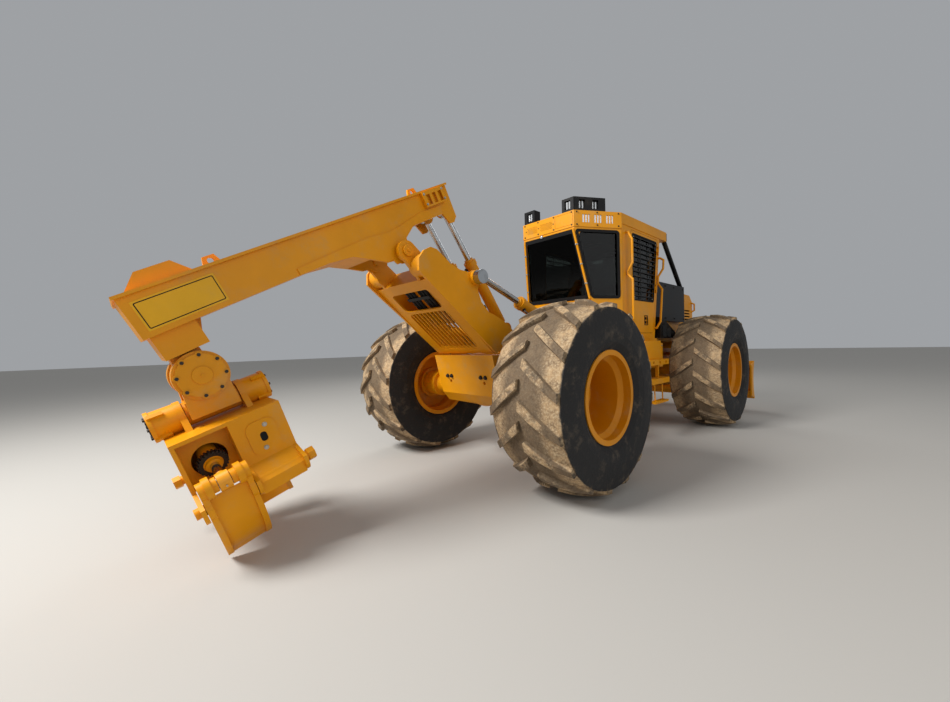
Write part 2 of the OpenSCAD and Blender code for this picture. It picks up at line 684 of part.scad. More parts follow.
module windows(margin, depth) {
    m = margin;
    w = window_margin + m;
    low = sill_z + m;
    high = window_top - m;
    // rear, front and slanted corner windows, each cut straight through its wall
    translate([rear_x(window_top) - 20, 0, 0]) bulkhead(depth / 2, depth) polygon(rounded_outline([
        [-rear_half_at(low) + w, low], [rear_half_at(low) - w, low],
        [rear_half_at(high) - w, high], [-rear_half_at(high) + w, high]], 50));
    front_low = hood_top + 60 + m;
    translate([front_x(2650), 0, 0]) bulkhead(0, 300) polygon(rounded_outline([
        [-cab_half + 110 + m, front_low], [cab_half - 110 - m, front_low],
        [cab_half - 110 - m, high], [-cab_half + 110 + m, high]], 50));
    for (s = [-1, 1]) chamfer_frame(s) plate(0, 260) polygon(rounded_outline([
        [chamfer_start(low) + w, low], [chamfer_len - w, low],
        [chamfer_len - w, high], [chamfer_start(high) + w, high]], 50));
}
// Hinges at the front edge of each door, on an axis that leans with the cab's front
hinge_out = 16;
hinge_y = cab_half + hinge_out;
hinge_z = [2250, 2860];
knuckle_r = 13;
knuckle_h = 60;
hinge_pin_r = 7;
hinge_leaf = 50;
function hinge_x(z) = door_front(z) - door_gap;
module on_hinge(side, z) {
    translate([hinge_x(z), side * hinge_y, z]) rotate([0, cab_lean, 0]) children();
}
module cab_hinges(side) {
    for (z = hinge_z) on_hinge(side, z) {
        cylinder(r = hinge_pin_r, h = knuckle_h + 30, center = true);
        for (d = [-1, 1]) translate([0, 0, d * (knuckle_h / 2 + side_gap + 15)]) {
            cylinder(r = knuckle_r, h = 30, center = true);
            translate([0, side * (6.5 - hinge_out), 0]) box(0, hinge_leaf, -3.5, 3.5, -15, 15);
            translate([0, side * (4.5 - hinge_out), 0])
                box(door_gap + 4, hinge_leaf, -5.5, 5.5, -15, 15);
        }
    }
}
module door_knuckles(side) {
    for (z = hinge_z) on_hinge(side, z) difference() {
        union() {
            cylinder(r = knuckle_r, h = knuckle_h, center = true);
            translate([0, side * (3.5 - hinge_out), 0])
                box(-120, 0, -4.5, 4.5, -knuckle_h / 2, knuckle_h / 2);
        }
        cylinder(r = hinge_pin_r + fit, h = knuckle_h + 2, center = true);
    }
}
module cab_shell() {
    color(yellow) {
        for (s = [-1, 1]) cab_hinges(s);
        difference() {
            cab_body(0, cab_floor, cab_top);
            cab_body(cab_wall, cab_floor - 1 + cab_wall, cab_top - cab_wall);
            windows(0, 400);
            // door openings through the side walls
            both_sides() plate(cab_half - cab_wall / 2, cab_wall + 20) door_outline(0, 46);
            // hatch through the roof plate keeps the cab a hollow shell
            box(cab_side_x + 300, cab_side_x + 700, -250, 250, cab_top - 60, side_top + 20);
        }
        // guard rods at the corners of the rear windows
        both_sides() rod_between([rear_x(cab_top - 30) - 6, rear_half_at(cab_top - 30) - 20, cab_top - 30],
            [rear_x(sill_z - 30) - 6, rear_half_at(sill_z - 30) - 20, sill_z - 30], 16);
    }
}
module cab_glass() {
    color("#9fb4bd", 0.4) intersection() {
        difference() {
            cab_body(cab_wall / 2 - glass_t / 2, cab_floor + 100, cab_top - 40);
            cab_body(cab_wall / 2 + glass_t / 2, cab_floor + 90, cab_top - 30);
        }
        windows(seat, 400);
    }
}
cap_over = 10;
cap_wall = 45;
cap_skin = 40;
// One panel of staggered diamond holes in the rear fascia, from y0 upwards
module mesh_panel(y0, columns, rows) {
    for (i = [0:columns - 1]) for (j = [0:rows - 1])
        translate([y0 + (i + (j % 2) / 2) * 26, cab_top + 62 + j * 17])
            polygon([[0, 0], [9, 6], [18, 0], [9, -6]]);
}
module roof_cap() {
    color(yellow) difference() {
        translate([0, 0, cab_top + seat]) linear_extrude(roof_h) cab_plan(-cap_over, roof_front);
        // room over the raised side walls and doors
        box(rise_x - 2 * seat, roof_front + 10, -cab_half - 20, cab_half + 20, cab_top - 10,
            side_top + seat);
        // hollow inside, with a floor under the visor
        translate([0, 0, cab_top - 1]) linear_extrude(roof_h - cap_skin)
            cab_plan(cap_wall - cap_over, front_x(side_top) - cap_wall);
        translate([0, 0, side_top + 30]) linear_extrude(roof_h - side_rise - cap_skin - 31)
            cab_plan(cap_wall - cap_over + 2, roof_front - cap_wall);
        // lamp slots in the slanted corners, three narrow ones for each lamp
        for (s = [-1, 1]) chamfer_frame(s) for (i = [0:2]) for (j = [0:2])
            translate([117 + i * 179 + j * 42, -60, cab_top + 58]) cube([28, 120, 112]);
        // two mesh panels in the rear fascia
        bulkhead(cab_rear_top, 120) {
            mesh_panel(176, 7, 6);
            mesh_panel(-88, 8, 6);
        }
        // seam of the blank panel beside them
        bulkhead(cab_rear_top - cap_over, 8) difference() {
            translate([-424, cab_top + 30]) square([290, roof_h - 52]);
            translate([-420, cab_top + 34]) square([282, roof_h - 60]);
        }
    }
}
lamp_box_h = 190;
module roof_lamps() {
    // one box round each rear corner of the roof, with a recess for each lamp
    z = cab_top + roof_h + 2 * seat;
    color(black) for (s = [-1, 1]) difference() {
        union() {
            box(cab_rear_top + 12, cab_rear_top + 150, s > 0 ? rear_half - 200 : -rear_half + 12,
                s > 0 ? rear_half - 12 : -rear_half + 200, z, z + lamp_box_h);
            chamfer_frame(s) translate([12, s > 0 ? -152 : 14, z]) cube([470, 138, lamp_box_h]);
        }
        translate([cab_rear_top, s * (rear_half - 110), z + 95]) cube([80, 90, 120], center = true);
        chamfer_frame(s) for (x = [130, 330])
            translate([x, -s * 14, z + 95]) cube([90, 80, 120], center = true);
    }
}
module seat() {
    x = rear_axle_x + 2200;
    z = cab_floor + cab_wall - 1 + seat;
    color(black) {
        box(x, x + 420, -210, 210, z, z + 330);
        box(x - 40, x + 460, -250, 250, z + 329, z + 450);
        translate([x - 60, 0, z + 380]) rotate([0, -8, 0]) box(0, 110, -240, 240, 0, 700);
    }
}
// Outline of a door, drawn in X and Z, inside its opening by a gap
module door_outline(gap, r) {
    polygon(rounded_outline([
        [door_x0 + gap, door_z0 + gap], [door_front(door_z0) - gap, door_z0 + gap],
        [door_front(door_z1) - gap, door_z1 - gap], [door_x0 + gap, door_z1 - gap]], r));
}
door_sill = 2030;
module door_window(margin) {
    w = window_margin + door_gap + margin;
    polygon(rounded_outline([
        [door_x0 + w, door_sill + margin], [door_front(door_sill) - w, door_sill + margin],
        [door_front(door_z1) - w, door_z1 - w], [door_x0 + w, door_z1 - w]], 40));
}
guard_rows = 14;
guard_bar = 14;
handle_x = rear_axle_x + 2655;
handle_z = 1735;
module door(side) {
    y = side * (cab_half - cab_wall / 2);
    guard_y = side * (cab_half - 7);
    pitch = (door_z1 - door_sill) / guard_rows;
    reach = door_front(door_z1) - door_x0;
    color(yellow) {
        difference() {
            plate(y, cab_wall) difference() {
                door_outline(door_gap, 40);
                door_window(0);
            }
            // pocket of the handle
            translate([handle_x, side * cab_half, handle_z]) cube([110, 50, 110], center = true);
        }
        translate([handle_x, side * (cab_half - 10), handle_z]) cyl_x(8, 120);
        door_knuckles(side);
        // window guard: a plate with rows of slots in three columns
        plate(guard_y, 8) difference() {
            door_window(-12);
            intersection() {
                door_window(14);
                for (i = [0:guard_rows - 1]) for (j = [0:2])
                    translate([door_x0 + j * reach / 3 + guard_bar / 2, door_sill + i * pitch])
                        square([reach / 3 - guard_bar, pitch - guard_bar]);
            }
        }
    }
}
module door_glass(side) {
    y = side * (cab_half - cab_wall / 2 - 6);
    color("#9fb4bd", 0.4) plate(y, glass_t) door_window(seat);
}
step_in = front_half - 1 + seat;
tread_top = 1140;
// One side of the steps, drawn on the left
module steps_side() {
    translate([rear_axle_x, 0, 0]) {
        // hanger from the frame, with its outer plate
        box(hanger_x - rear_axle_x, 2815, step_in, 930, 1380, cab_floor - 40 - seat);
        box(2250, 2810, 918, 940, tread_top - 2, cab_floor - 42);
        // tank and tool box ahead of it
        box(2560, 3080, front_half + 20, 860, 1010, 1381);
        // upper tread, a channel with four holes along its outer face
        difference() {
            box(2070, 2950, 700, 1000, tread_top - 80, tread_top);
            box(2090, 2930, 861, 985, tread_top - 90, tread_top - 15);
            for (i = [0:3]) translate([2180 + i * 220, 990, tread_top - 42]) cyl_y(24, 60);
        }
        // posts down to the middle tread
        for (x = [2330, 2630]) box(x - 15, x + 15, 930, 970, 868, tread_top - 14);
        translate([0, 0, 795]) difference() {
            linear_extrude(75) polygon([[2030, 880], [2130, 1050], [2830, 1050], [2930, 880]]);
            translate([0, 0, -1]) linear_extrude(60)
                polygon([[2060, 898], [2142, 1034], [2818, 1034], [2900, 898]]);
        }
        // lowest tread on two light rods
        box(2200, 2650, 1000, 1040, 530, 560);
        box(2200, 2650, 1060, 1100, 530, 560);
        for (x = [2215, 2600]) box(x, x + 35, 1039, 1061, 532, 558);
        for (x = [2320, 2585]) rod_between([x, 1042, 540], [x, 1030, 860], 9);
    }
}
module steps() { color(yellow) both_sides() steps_side(); }
rail_out = 90;
rail_r = 16;
// Front rail of a side, along the leaning post, and rear rail on the corner post
rail_steps = [[2700, 1], [2560, 1], [2440, 0], [2330, 0], [2230, 1], [1720, 1]];
rail_ends = [2740, 1620];
function post_x(z) = front_x(z) - 28;
module handrails() {
    color(yellow) both_sides() {
        far = cab_half + rail_out;
        near = cab_half + rail_r + side_gap;
        at_wall = [[rail_ends[0], cab_half + seat], [rail_ends[0], cab_half + seat + 35]];
        bent_bar(concat([for (k = at_wall) [post_x(k[0]), k[1], k[0]]],
            [for (k = rail_steps) [post_x(k[0]), k[1] > 0 ? far : near, k[0]]],
            [for (y = [35, 0]) [post_x(rail_ends[1]), cab_half + seat + y, rail_ends[1]]]), rail_r);
        x = rear_axle_x + 2040;
        bent_bar([[x, cab_half + seat, 2960], [x, cab_half + seat + 35, 2960], [x, far, 2850],
            [x, far, 2520], [x, near, 2400], [x, near, 2370], [x, far, 2290], [x, far, 1740],
            [x, cab_half + seat + 35, 1660], [x, cab_half + seat, 1660]], rail_r);
    }
}
guard_x0 = hood_x0 + 10;
guard_x1 = rear_axle_x + 4380;
guard_z = [1750, 2390];
guard_out = 750;
guard_t = 14;
louvre_x0 = rear_axle_x + 3030;
module louvre_outline(t) {
    x1 = rear_axle_x + 3640;
    polygon([[louvre_x0 + t, cab_floor + t], [louvre_x0 + t, 1700 - t / 2],
        [louvre_x0 + 90, 1800 - t * 1.2], [x1 - t, 1560 - t], [x1 - t, cab_floor + t]]);
}
module limb_risers() {
    color(black) both_sides() {
        // pan that shields the side of the hood
        side_in = hood_half + seat;
        difference() {
            box(guard_x0, guard_x1, side_in, guard_out, guard_z[0], guard_z[1]);
            box(guard_x0 + guard_t, guard_x1 - guard_t, side_in - 1, guard_out - guard_t,
                guard_z[0] + guard_t, guard_z[1] - guard_t);
        }
        box(guard_x0 + 420, guard_x0 + 440, side_in, guard_out - 5, guard_z[0] + 5, guard_z[1] - 5);
        // riser tube from the guard up to the corner of the roof
        a = [roof_front + seat + 14, cab_half - 60, side_top + 75];
        b = [guard_x1 - 45, (side_in + guard_out) / 2, guard_z[1] - 6];
        rod_between(b, a + [24, 0, -17], 37);
        translate(a) box(-14, 30, -60, 60, -62, 62);
        // louvred box beside the deck
        difference() {
            plate(776, 148) louvre_outline(0);
            plate(760, 150) louvre_outline(12);
            for (i = [0:2]) box(louvre_x0 + 70 + i * 170, louvre_x0 + 190 + i * 170, 840, 860, 1500,
                1690 - i * 50);
        }
        for (i = [0:2]) translate([louvre_x0 + 130 + i * 170, 842, 1480])
            rotate([0, 0, 35]) box(-60, 60, -2, 2, 0, 200 - i * 50);
    }
}

// Arch
module arch_outline() {
    polygon(concat(
        [[1319, 23], [1325, 119], [1296, 195], [1234, 233], [1037, 252], [927, 293]],
        [[832, 358]], arc([737, 377], 78, 10, 150, 6),
        [[640, 312], [522, 249], [376, 243], [266, 289], [111, 330], [20, 340]],
        arc([-102, 250], 95, 60, 250, 8),
        [[-20, 60], [30, -20], [640, -39], [1020, -57], [1247, -64]]));
}
inner_ear_y = 322;
foot_ab = [60, 300];
module arch() {
    color(yellow) {
        arch_frame() {
            both_sides() plate(arch_half - arch_t / 2, arch_t) difference() {
                arch_outline();
                translate([-102, 250]) circle(main_pin_d / 2 + fit);
            }
            // rear cross plate with its window and grille opening
            difference() {
                box(40, 1120, -arch_half + arch_t - 1, arch_half - arch_t + 1, -30, -14);
                translate([0, 0, -40]) linear_extrude(40) translate([760, -330]) rounded(250, 660, 50);
                translate([0, 0, -40]) linear_extrude(40) translate([120, -330]) rounded(600, 660, 60);
            }
            for (i = [0:9]) translate([110, -297 + i * 66, -26]) cube([620, 16, 22]);
            // gussets between the bars at their lower ends
            for (i = [-1:9]) translate([118, -281 + i * 66, -24]) linear_extrude(10)
                polygon([[0, -2], [70, -2], [0, 52]]);
            // front cross plate
            box(380, 900, -arch_half + arch_t - 1, arch_half - arch_t + 1, 190, 210);
            // torque tube with the ears that carry the boom
            translate([1205, 0, 75]) both_sides() translate([0, (inner_ear_y + arch_half) / 2 - 15, 0])
                cyl_y(105, arch_half - inner_ear_y + 10);
            both_sides() plate(inner_ear_y, 40) difference() {
                union() {
                    translate([boom_pivot_a, boom_pivot_b]) circle(95);
                    polygon([[boom_pivot_a - 10, boom_pivot_b + 94], [1100, 190], [1080, -30],
                        [boom_pivot_a - 40, boom_pivot_b - 86]]);
                }
                translate([boom_pivot_a, boom_pivot_b]) circle(main_pin_d / 2 + fit);
            }
            box(1080, 1130, -inner_ear_y, inner_ear_y, -30, 190);
            // foot tube and the brackets of the boom cylinders
            translate([foot_ab[0], 0, foot_ab[1]]) cyl_y(55, 2 * (arch_half - arch_t) + 2);
            both_sides() translate([boom_base_ab[0], boom_cyl_y, boom_base_ab[1]])
                base_pin(eye_r, eye_w + 2 * side_gap + 48);
            for (s = [-1, 1]) for (d = [-1, 1])
                plate(s * boom_cyl_y + d * (eye_w / 2 + side_gap + 12), 24) union() {
                    translate(boom_base_ab) circle(72);
                    polygon([boom_base_ab + [-68, -24], boom_base_ab + [48, -52],
                        foot_ab + [40, 36], foot_ab + [-50, -20]]);
                }
            // bosses for the rod eyes of the arch cylinders
            both_sides() translate([arch_rod_ab[0], arch_half, arch_rod_ab[1]])
                cyl_y(74, 2 * (arch_cyl_y - eye_w / 2 - side_gap - arch_half));
        }
        // pins of the arch, each through one frame ear
        both_sides() translate([arch_pivot[0], (arch_ear_y + arch_half) / 2 + 5, arch_pivot[1]])
            cyl_y(main_pin_d / 2, arch_half - arch_ear_y + 50);
    }
}

// Boom
module boom_web() {
    top = boom_top - boom_t;
    difference() {
        union() {
            polygon(concat(
                [[boom_reach - 12, top], [boom_reach - 12, 157], [700, 157], [480, 132], [330, 55],
                [180, -30]], arc([0, 0], 100, -25, -190, 8),
                [[-115, 110], [-240, 180], [-650, 180], [-700, 67], [-760, 62], [-814, 107],
                [-820, top]]));
        }
        circle(main_pin_d / 2 + fit);
    }
}
module boom_doubler() {
    difference() {
        polygon([[952, 157], [952, 209], [269, 231], [85, 210], [-43, 215], [-373, 267], [-640, 260],
            [-640, 180], [-240, 180], [-115, 110], [-60, 60], [0, 0], [180, -30], [330, 55],
            [480, 132], [700, 157]]);
        circle(130);
    }
    difference() {
        circle(130);
        circle(main_pin_d / 2 + fit);
        translate([-200, -250]) square([500, 250 - 78]);
    }
}
rotor_r = 76;
flange_r = 100;
neck_floor = 35;
module boom() {
    color(yellow) boom_frame() {
        inner = boom_half - boom_t;
        both_sides() plate(boom_half - boom_t / 2, boom_t) boom_web();
        both_sides() plate(boom_half + 6, 12) boom_doubler();
        // pivot bosses
        both_sides() translate([0, (boom_half + inner_ear_y - 20 - 6) / 2, 0]) difference() {
            cyl_y(78, inner_ear_y - 26 - boom_half);
            cyl_y(main_pin_d / 2 + fit, 200);
        }
        // top plate and end plates
        box(-820, boom_reach, -boom_flange_half, boom_flange_half, boom_top - boom_t, boom_top);
        box(boom_reach - 32, boom_reach - 12, -inner - 1, inner + 1, 157, boom_top - 10);
        box(-820, -800, -inner - 1, inner + 1, 310, boom_top - 10);
        // bottom plates behind and ahead of the pivot
        across(inner + 1) polygon([[boom_reach - 12, 157], [700, 157], [480, 132], [330, 55],
            [330, 80], [475, 157], [697, 182], [boom_reach - 12, 182]]);
        across(inner + 1) polygon([[-240, 180], [-600, 180], [-600, 200], [-240, 200]]);
        // cheeks inside the webs that hold the rod eyes
        for (s = [-1, 1]) for (d = [-1, 1])
            plate(s * boom_cyl_y + d * (eye_w / 2 + side_gap + 9), 18) union() {
                translate(boom_rod_uv) circle(68);
                polygon([boom_rod_uv + [-60, 0], boom_rod_uv + [60, 0], [-640, boom_top - 10],
                    [-800, boom_top - 10]]);
            }
        // louvred hose guard on the right web
        difference() {
            box(-730, -460, boom_half - 1, boom_half + 46, 282, boom_top - boom_t + 1);
            box(-718, -472, boom_half + 13, boom_half + 36, 270, boom_top - boom_t - 12);
            for (i = [0:2]) box(-700 + i * 78, -652 + i * 78, boom_half + 30, boom_half + 50, 300,
                boom_top - boom_t - 30);
        }
        // neck under the tip, with its gusset
        neck_x0 = rotator_u - 150;
        neck_x1 = rotator_u + 115;
        difference() {
            box(neck_x0, neck_x1, -200, 200, -10, 158);
            translate([rotator_u, 0, neck_floor]) cylinder(r = flange_r + 8, h = 158 - neck_floor - 30);
            translate([rotator_u, 0, -11]) cylinder(r = rotor_r + fit, h = 100);
        }
        plate(0, 40) polygon([[neck_x0 + 1, 158], [neck_x0 + 1, 20], [neck_x0 - 60, 158]]);
        // lifting eyes on the top plate
        for (u = [-580, 1385]) plate(0, 24) translate([u, boom_top - 1]) difference() {
            polygon([[-70, 0], [-40, 80], [40, 80], [70, 0]]);
            translate([0, 42]) circle(22);
        }
    }
    // pin of the boom in its ears
    color(steel) translate([boom_pivot[0], 0, boom_pivot[1]]) both_sides()
        translate([0, (inner - 20 + inner_ear_y + 30) / 2, 0])
            cyl_y(main_pin_d / 2, inner_ear_y + 30 - inner + 20);
}
inner = boom_half - boom_t;
module boom_hood() {
    t = 8;
    color(black) boom_frame() difference() {
        across(200) polygon([[1543, boom_top + seat], [1633, 546], [1834, 544], [1940, boom_top + seat]]);
        across(200 - t) polygon([[1543 + 2 * t, boom_top - 5], [1633 + t, 546 - t], [1834 - t, 544 - t],
            [1940 - 2 * t, boom_top - 5]]);
    }
}

// Rotator under the tip, with the lug of the swing pin
swing_pin_r = 45;
lug_half = 80;
module rotator() {
    color(yellow) boom_frame() translate([rotator_u, 0, 0]) difference() {
        union() {
            translate([0, 0, -60]) cylinder(r = rotor_r, h = 60 + neck_floor + seat + 1);
            translate([0, 0, neck_floor + seat]) cylinder(r = flange_r, h = 25);
            plate(0, 2 * lug_half) union() {
                translate([0, swing_v]) circle(100);
                polygon([[-100, swing_v], [-92, -18], [92, -18], [100, swing_v]]);
            }
        }
        translate([0, 0, swing_v]) cyl_y(swing_pin_r + fit, 400);
    }
}

// Crosshead: swing housings above, sway tube below, in the grapple's axes
tube_r = 85;
sway_pin_r = 35;
ear_x = 190;
module crosshead() {
    color(yellow) grapple_frame() {
        both_sides() {
            translate([0, lug_half + side_gap + 50, 0]) cyl_y(swing_r, 100);
            translate([0, lug_half + side_gap + 110, 0]) {
                cyl_y(swing_r - 20, 22);
                for (i = [0:7]) rotate([0, i * 45 + 12, 0]) translate([swing_r - 27, 0, 0])
                    cyl_y(22, 24);
            }
            plate(lug_half + side_gap + 40, 80) polygon([[-140, -80], [-150, -sway_drop - 30],
                [150, -sway_drop - 30], [140, -80]]);
        }
        cyl_y(swing_pin_r, 2 * (lug_half + side_gap + 10));
        difference() {
            union() {
                translate([0, 0, -sway_drop]) cyl_x(tube_r, 2 * (ear_x - 20 - side_gap));
                box(-150, 150, -124, 124, -sway_drop - 30, -sway_drop + 85);
            }
            translate([0, 0, 0]) cyl_y(112, 2 * lug_half + 2 * side_gap - 1);
            translate([0, 0, -sway_drop]) cyl_x(sway_pin_r + fit, 400);
        }
    }
}
// Grapple head: three walls across it, with a cylinder bay on each side
head_top = -sway_drop - tube_r - 8;
housing_r = tube_r + 15;
head_foot = -710;
wall_out = tong_pin_y + 50;
bay = head_half_x - 1.5 * grapple_t;
module head_wall() {
    polygon(concat([[-head_half_y, head_top], [-head_half_y, head_foot + 40]],
        arc([-tong_pin_y, -tong_pin_drop], 88, 160, 290, 6),
        [[-330, head_foot + 5], [330, head_foot + 5]],
        arc([tong_pin_y, -tong_pin_drop], 88, 250, 380, 6),
        [[head_half_y, head_foot + 40], [head_half_y, head_top]]));
}
tong_base_yz = [200, -400];
tong_eye_r = 41;
tong_rod_yz = [-500, -630];
module half_head() {
    // The bay behind the middle wall opens towards the right
    x0 = -head_half_x + grapple_t - 1;
    x1 = -grapple_t / 2 + 1;
    translate([x0, -head_half_y, head_top - grapple_t]) cube([x1 - x0, 2 * head_half_y, grapple_t]);
    // closed left side, flush and then flared out to the pin
    bulkhead((x0 + x1) / 2, x1 - x0) polygon([
        [head_half_y, head_top], [head_half_y, head_foot + 40], [wall_out + 5, -tong_pin_drop - 5],
        [wall_out - 10, -tong_pin_drop - 90], [wall_out - 36, -tong_pin_drop - 90],
        [wall_out - 24, -tong_pin_drop - 5], [head_half_y - 25, head_foot + 35],
        [head_half_y - 25, head_top]]);
    // access cover on the flush side, with its slot
    translate([(x0 + x1) / 2, head_half_y, -520]) difference() {
        rotate([-90, 0, 0]) translate([0, 0, -2]) linear_extrude(10)
            translate([-95, -120]) rounded(190, 240, 60);
        rotate([-90, 0, 0]) translate([0, 0, -12]) linear_extrude(30)
            translate([-22, -34]) rounded(44, 68, 20);
    }
    // floor of the bay
    translate([x0, -200, head_foot + 5]) cube([x1 - x0, 560, grapple_t]);
    // recessed wall with the opening that the rod comes out of
    difference() {
        translate([x0, -215, head_foot + 6]) cube([x1 - x0, grapple_t, head_top - head_foot - 8]);
        translate([(x0 + x1) / 2, -200, -540]) cyl_y(105, 80);
    }
    // clevis of the cylinder's base
    for (d = [-1, 1]) bulkhead((x0 + x1) / 2 + d * (eye_w / 2 + side_gap + 8), 16) polygon([
        tong_base_yz + [0, 50], [head_half_y - 20, head_top - 5], [head_half_y - 20, -560],
        tong_base_yz + [0, -50]]);
    for (d = [-1, 1]) translate([(x0 + x1) / 2 + d * (eye_w / 2 + side_gap + 8),
        tong_base_yz[0], tong_base_yz[1]]) cyl_x(50, 16);
    translate([(x0 + x1) / 2, tong_base_yz[0], tong_base_yz[1]])
        cyl_x(tong_eye_r * pin_share, eye_w + 2 * side_gap + 20);
}
bay_x = -(head_half_x + grapple_t / 2 - grapple_t) / 2;
module grapple_head() {
    color(yellow) grapple_frame() {
        for (x = [-head_half_x + grapple_t / 2, 0, head_half_x - grapple_t / 2])
            bulkhead(x, grapple_t) head_wall();
        for (a = [0, 180]) rotate([0, 0, a]) half_head();
        // ears around the sway tube, with the brake housings outside
        for (s = [-1, 1]) {
            bulkhead(s * ear_x, 40) union() {
                translate([0, -sway_drop]) circle(housing_r + 6);
                polygon([[-100, -sway_drop], [-160, head_top - 5], [160, head_top - 5], [100, -sway_drop]]);
            }
            translate([s * (ear_x + 90), 0, -sway_drop]) cyl_x(housing_r, 150);
            translate([s * (ear_x + 168), 0, -sway_drop]) {
                cyl_x(housing_r + 8, 24);
                for (i = [0:3]) rotate([i * 90 + 45, 0, 0])
                    translate([-s * 40, 0, housing_r + 6]) cube([90, 26, 24], center = true);
            }
        }
        translate([0, 0, -sway_drop]) cyl_x(sway_pin_r, 2 * ear_x);
        // tong pins with their hex heads
        for (s = [-1, 1]) {
            translate([0, s * tong_pin_y, -tong_pin_drop]) cyl_x(tong_pin_d / 2, 2 * head_half_x + 60);
            translate([s * -1 * (head_half_x + 45), s * tong_pin_y, -tong_pin_drop])
                rotate([0, 90, 0]) cylinder(r = 48, h = 50, center = true, $fn = 6);
        }
    }
}

// Tongs: the right one in the rear bay, the left one the same turned about Z
module tong_outline() {
    c = [0, -800];
    difference() {
        union() {
            polygon(concat(arc(c, tong_r, 176, 234, 14), [[-236, -1212]],
                arc(c, tong_r - 105, 226, 190, 8), [[-350, -735]]));
            translate([-tong_pin_y, -tong_pin_drop]) circle(82);
            polygon([tong_rod_yz + [-52, 20], [-tong_r + 1, -790], [-tong_pin_y + 80, -tong_pin_drop],
                tong_rod_yz + [50, 20]]);
            translate(tong_rod_yz) circle(56);
        }
        translate([-tong_pin_y, -tong_pin_drop]) circle(tong_pin_d / 2 + fit);
    }
}
module tong() {
    t = 35;
    x0 = -head_half_x + grapple_t + side_gap + t / 2;
    x1 = -grapple_t / 2 - side_gap - t / 2;
    for (x = [x0, x1]) bulkhead(x, t) tong_outline();
    // discs and bosses on both sides of the rod's eye
    for (d = [-1, 1]) {
        rib_in = d < 0 ? x0 + t / 2 : x1 - t / 2;
        eye_side = bay_x + d * (eye_w / 2 + side_gap);
        translate([(rib_in + eye_side) / 2, tong_rod_yz[0], tong_rod_yz[1]])
            cyl_x(48, abs(rib_in - eye_side));
        translate([rib_in - d * 18, tong_rod_yz[0], tong_rod_yz[1]]) cyl_x(70, 38);
    }
    // curved plate and chisel edge between the ribs
    bulkhead((x0 + x1) / 2, x1 - x0) polygon(concat(
        arc([0, -800], tong_r - 25, 200, 233, 8), [[-236, -1205]],
        arc([0, -800], tong_r - 60, 226, 200, 8)));
}
module tong_right() { color(yellow) grapple_frame() tong(); }
module tong_left() { color(yellow) grapple_frame() rotate([0, 0, 180]) tong(); }
tong_span = norm(tong_rod_yz - tong_base_yz);
tong_slope = atan2(tong_rod_yz[1] - tong_base_yz[1], tong_rod_yz[0] - tong_base_yz[0]);
module tong_cylinder_at(p) {
    // X of the child points from the base pin to the rod pin
    translate([bay_x, p[0], p[1]]) rotate([tong_slope, 0, 0]) rotate([0, 0, 90]) children();
}
module tong_barrel() {
    tong_cylinder_at(tong_base_yz) barrel(545, tong_cyl_d, tong_rod_d, tong_eye_r, eye_w);
}
module tong_rod() {
    tong_cylinder_at(tong_rod_yz) rod(430, tong_rod_d, 58, eye_w);
}
module tong_barrel_right() { color(grey) grapple_frame() tong_barrel(); }
module tong_barrel_left() { color(grey) grapple_frame() rotate([0, 0, 180]) tong_barrel(); }
module tong_rod_right() { color(steel) grapple_frame() tong_rod(); }
module tong_rod_left() { color(steel) grapple_frame() rotate([0, 0, 180]) tong_rod(); }

// Main cylinders, in pairs
module arch_barrels() {
    color(yellow) both_sides() along_xz(arch_base_pin, arch_rod_pin, arch_cyl_y)
        barrel(1100, main_cyl_d, main_rod_d, eye_r, eye_w);
}
module arch_rods() {
    color(steel) both_sides() along_xz(arch_rod_pin, 2 * arch_rod_pin - arch_base_pin, arch_cyl_y)
        rod(span(arch_base_pin, arch_rod_pin) - 620, main_rod_d, eye_r, eye_w);
}
module boom_barrels() {
    color(yellow) both_sides() along_xz(boom_base_pin, boom_rod_pin, boom_cyl_y)
        barrel(930, main_cyl_d - 5, main_rod_d, eye_r, eye_w);
}
module boom_rods() {
    color(steel) both_sides() along_xz(boom_rod_pin, 2 * boom_rod_pin - boom_base_pin, boom_cyl_y)
        rod(span(boom_base_pin, boom_rod_pin) - 560, main_rod_d, eye_r - 4, eye_w);
}
// Steering cylinders, level, one on each side
module steer_placed(side, at_rod) {
    d = steer_rod - steer_base;
    p = at_rod ? steer_rod : steer_base;
    translate([p[0], side * p[1], steer_z]) rotate([0, 0, side * atan2(d[1], d[0])])
        rotate([90, 0, 0]) children();
}
module steer_barrel(side) {
    color(yellow) steer_placed(side, false) barrel(760, small_cyl_d, small_rod_d, 45, 64);
}
module steer_rod_part(side) {
    color(steel) steer_placed(side, true)
        rod(norm(steer_rod - steer_base) - 470, small_rod_d, 45, 64);
}

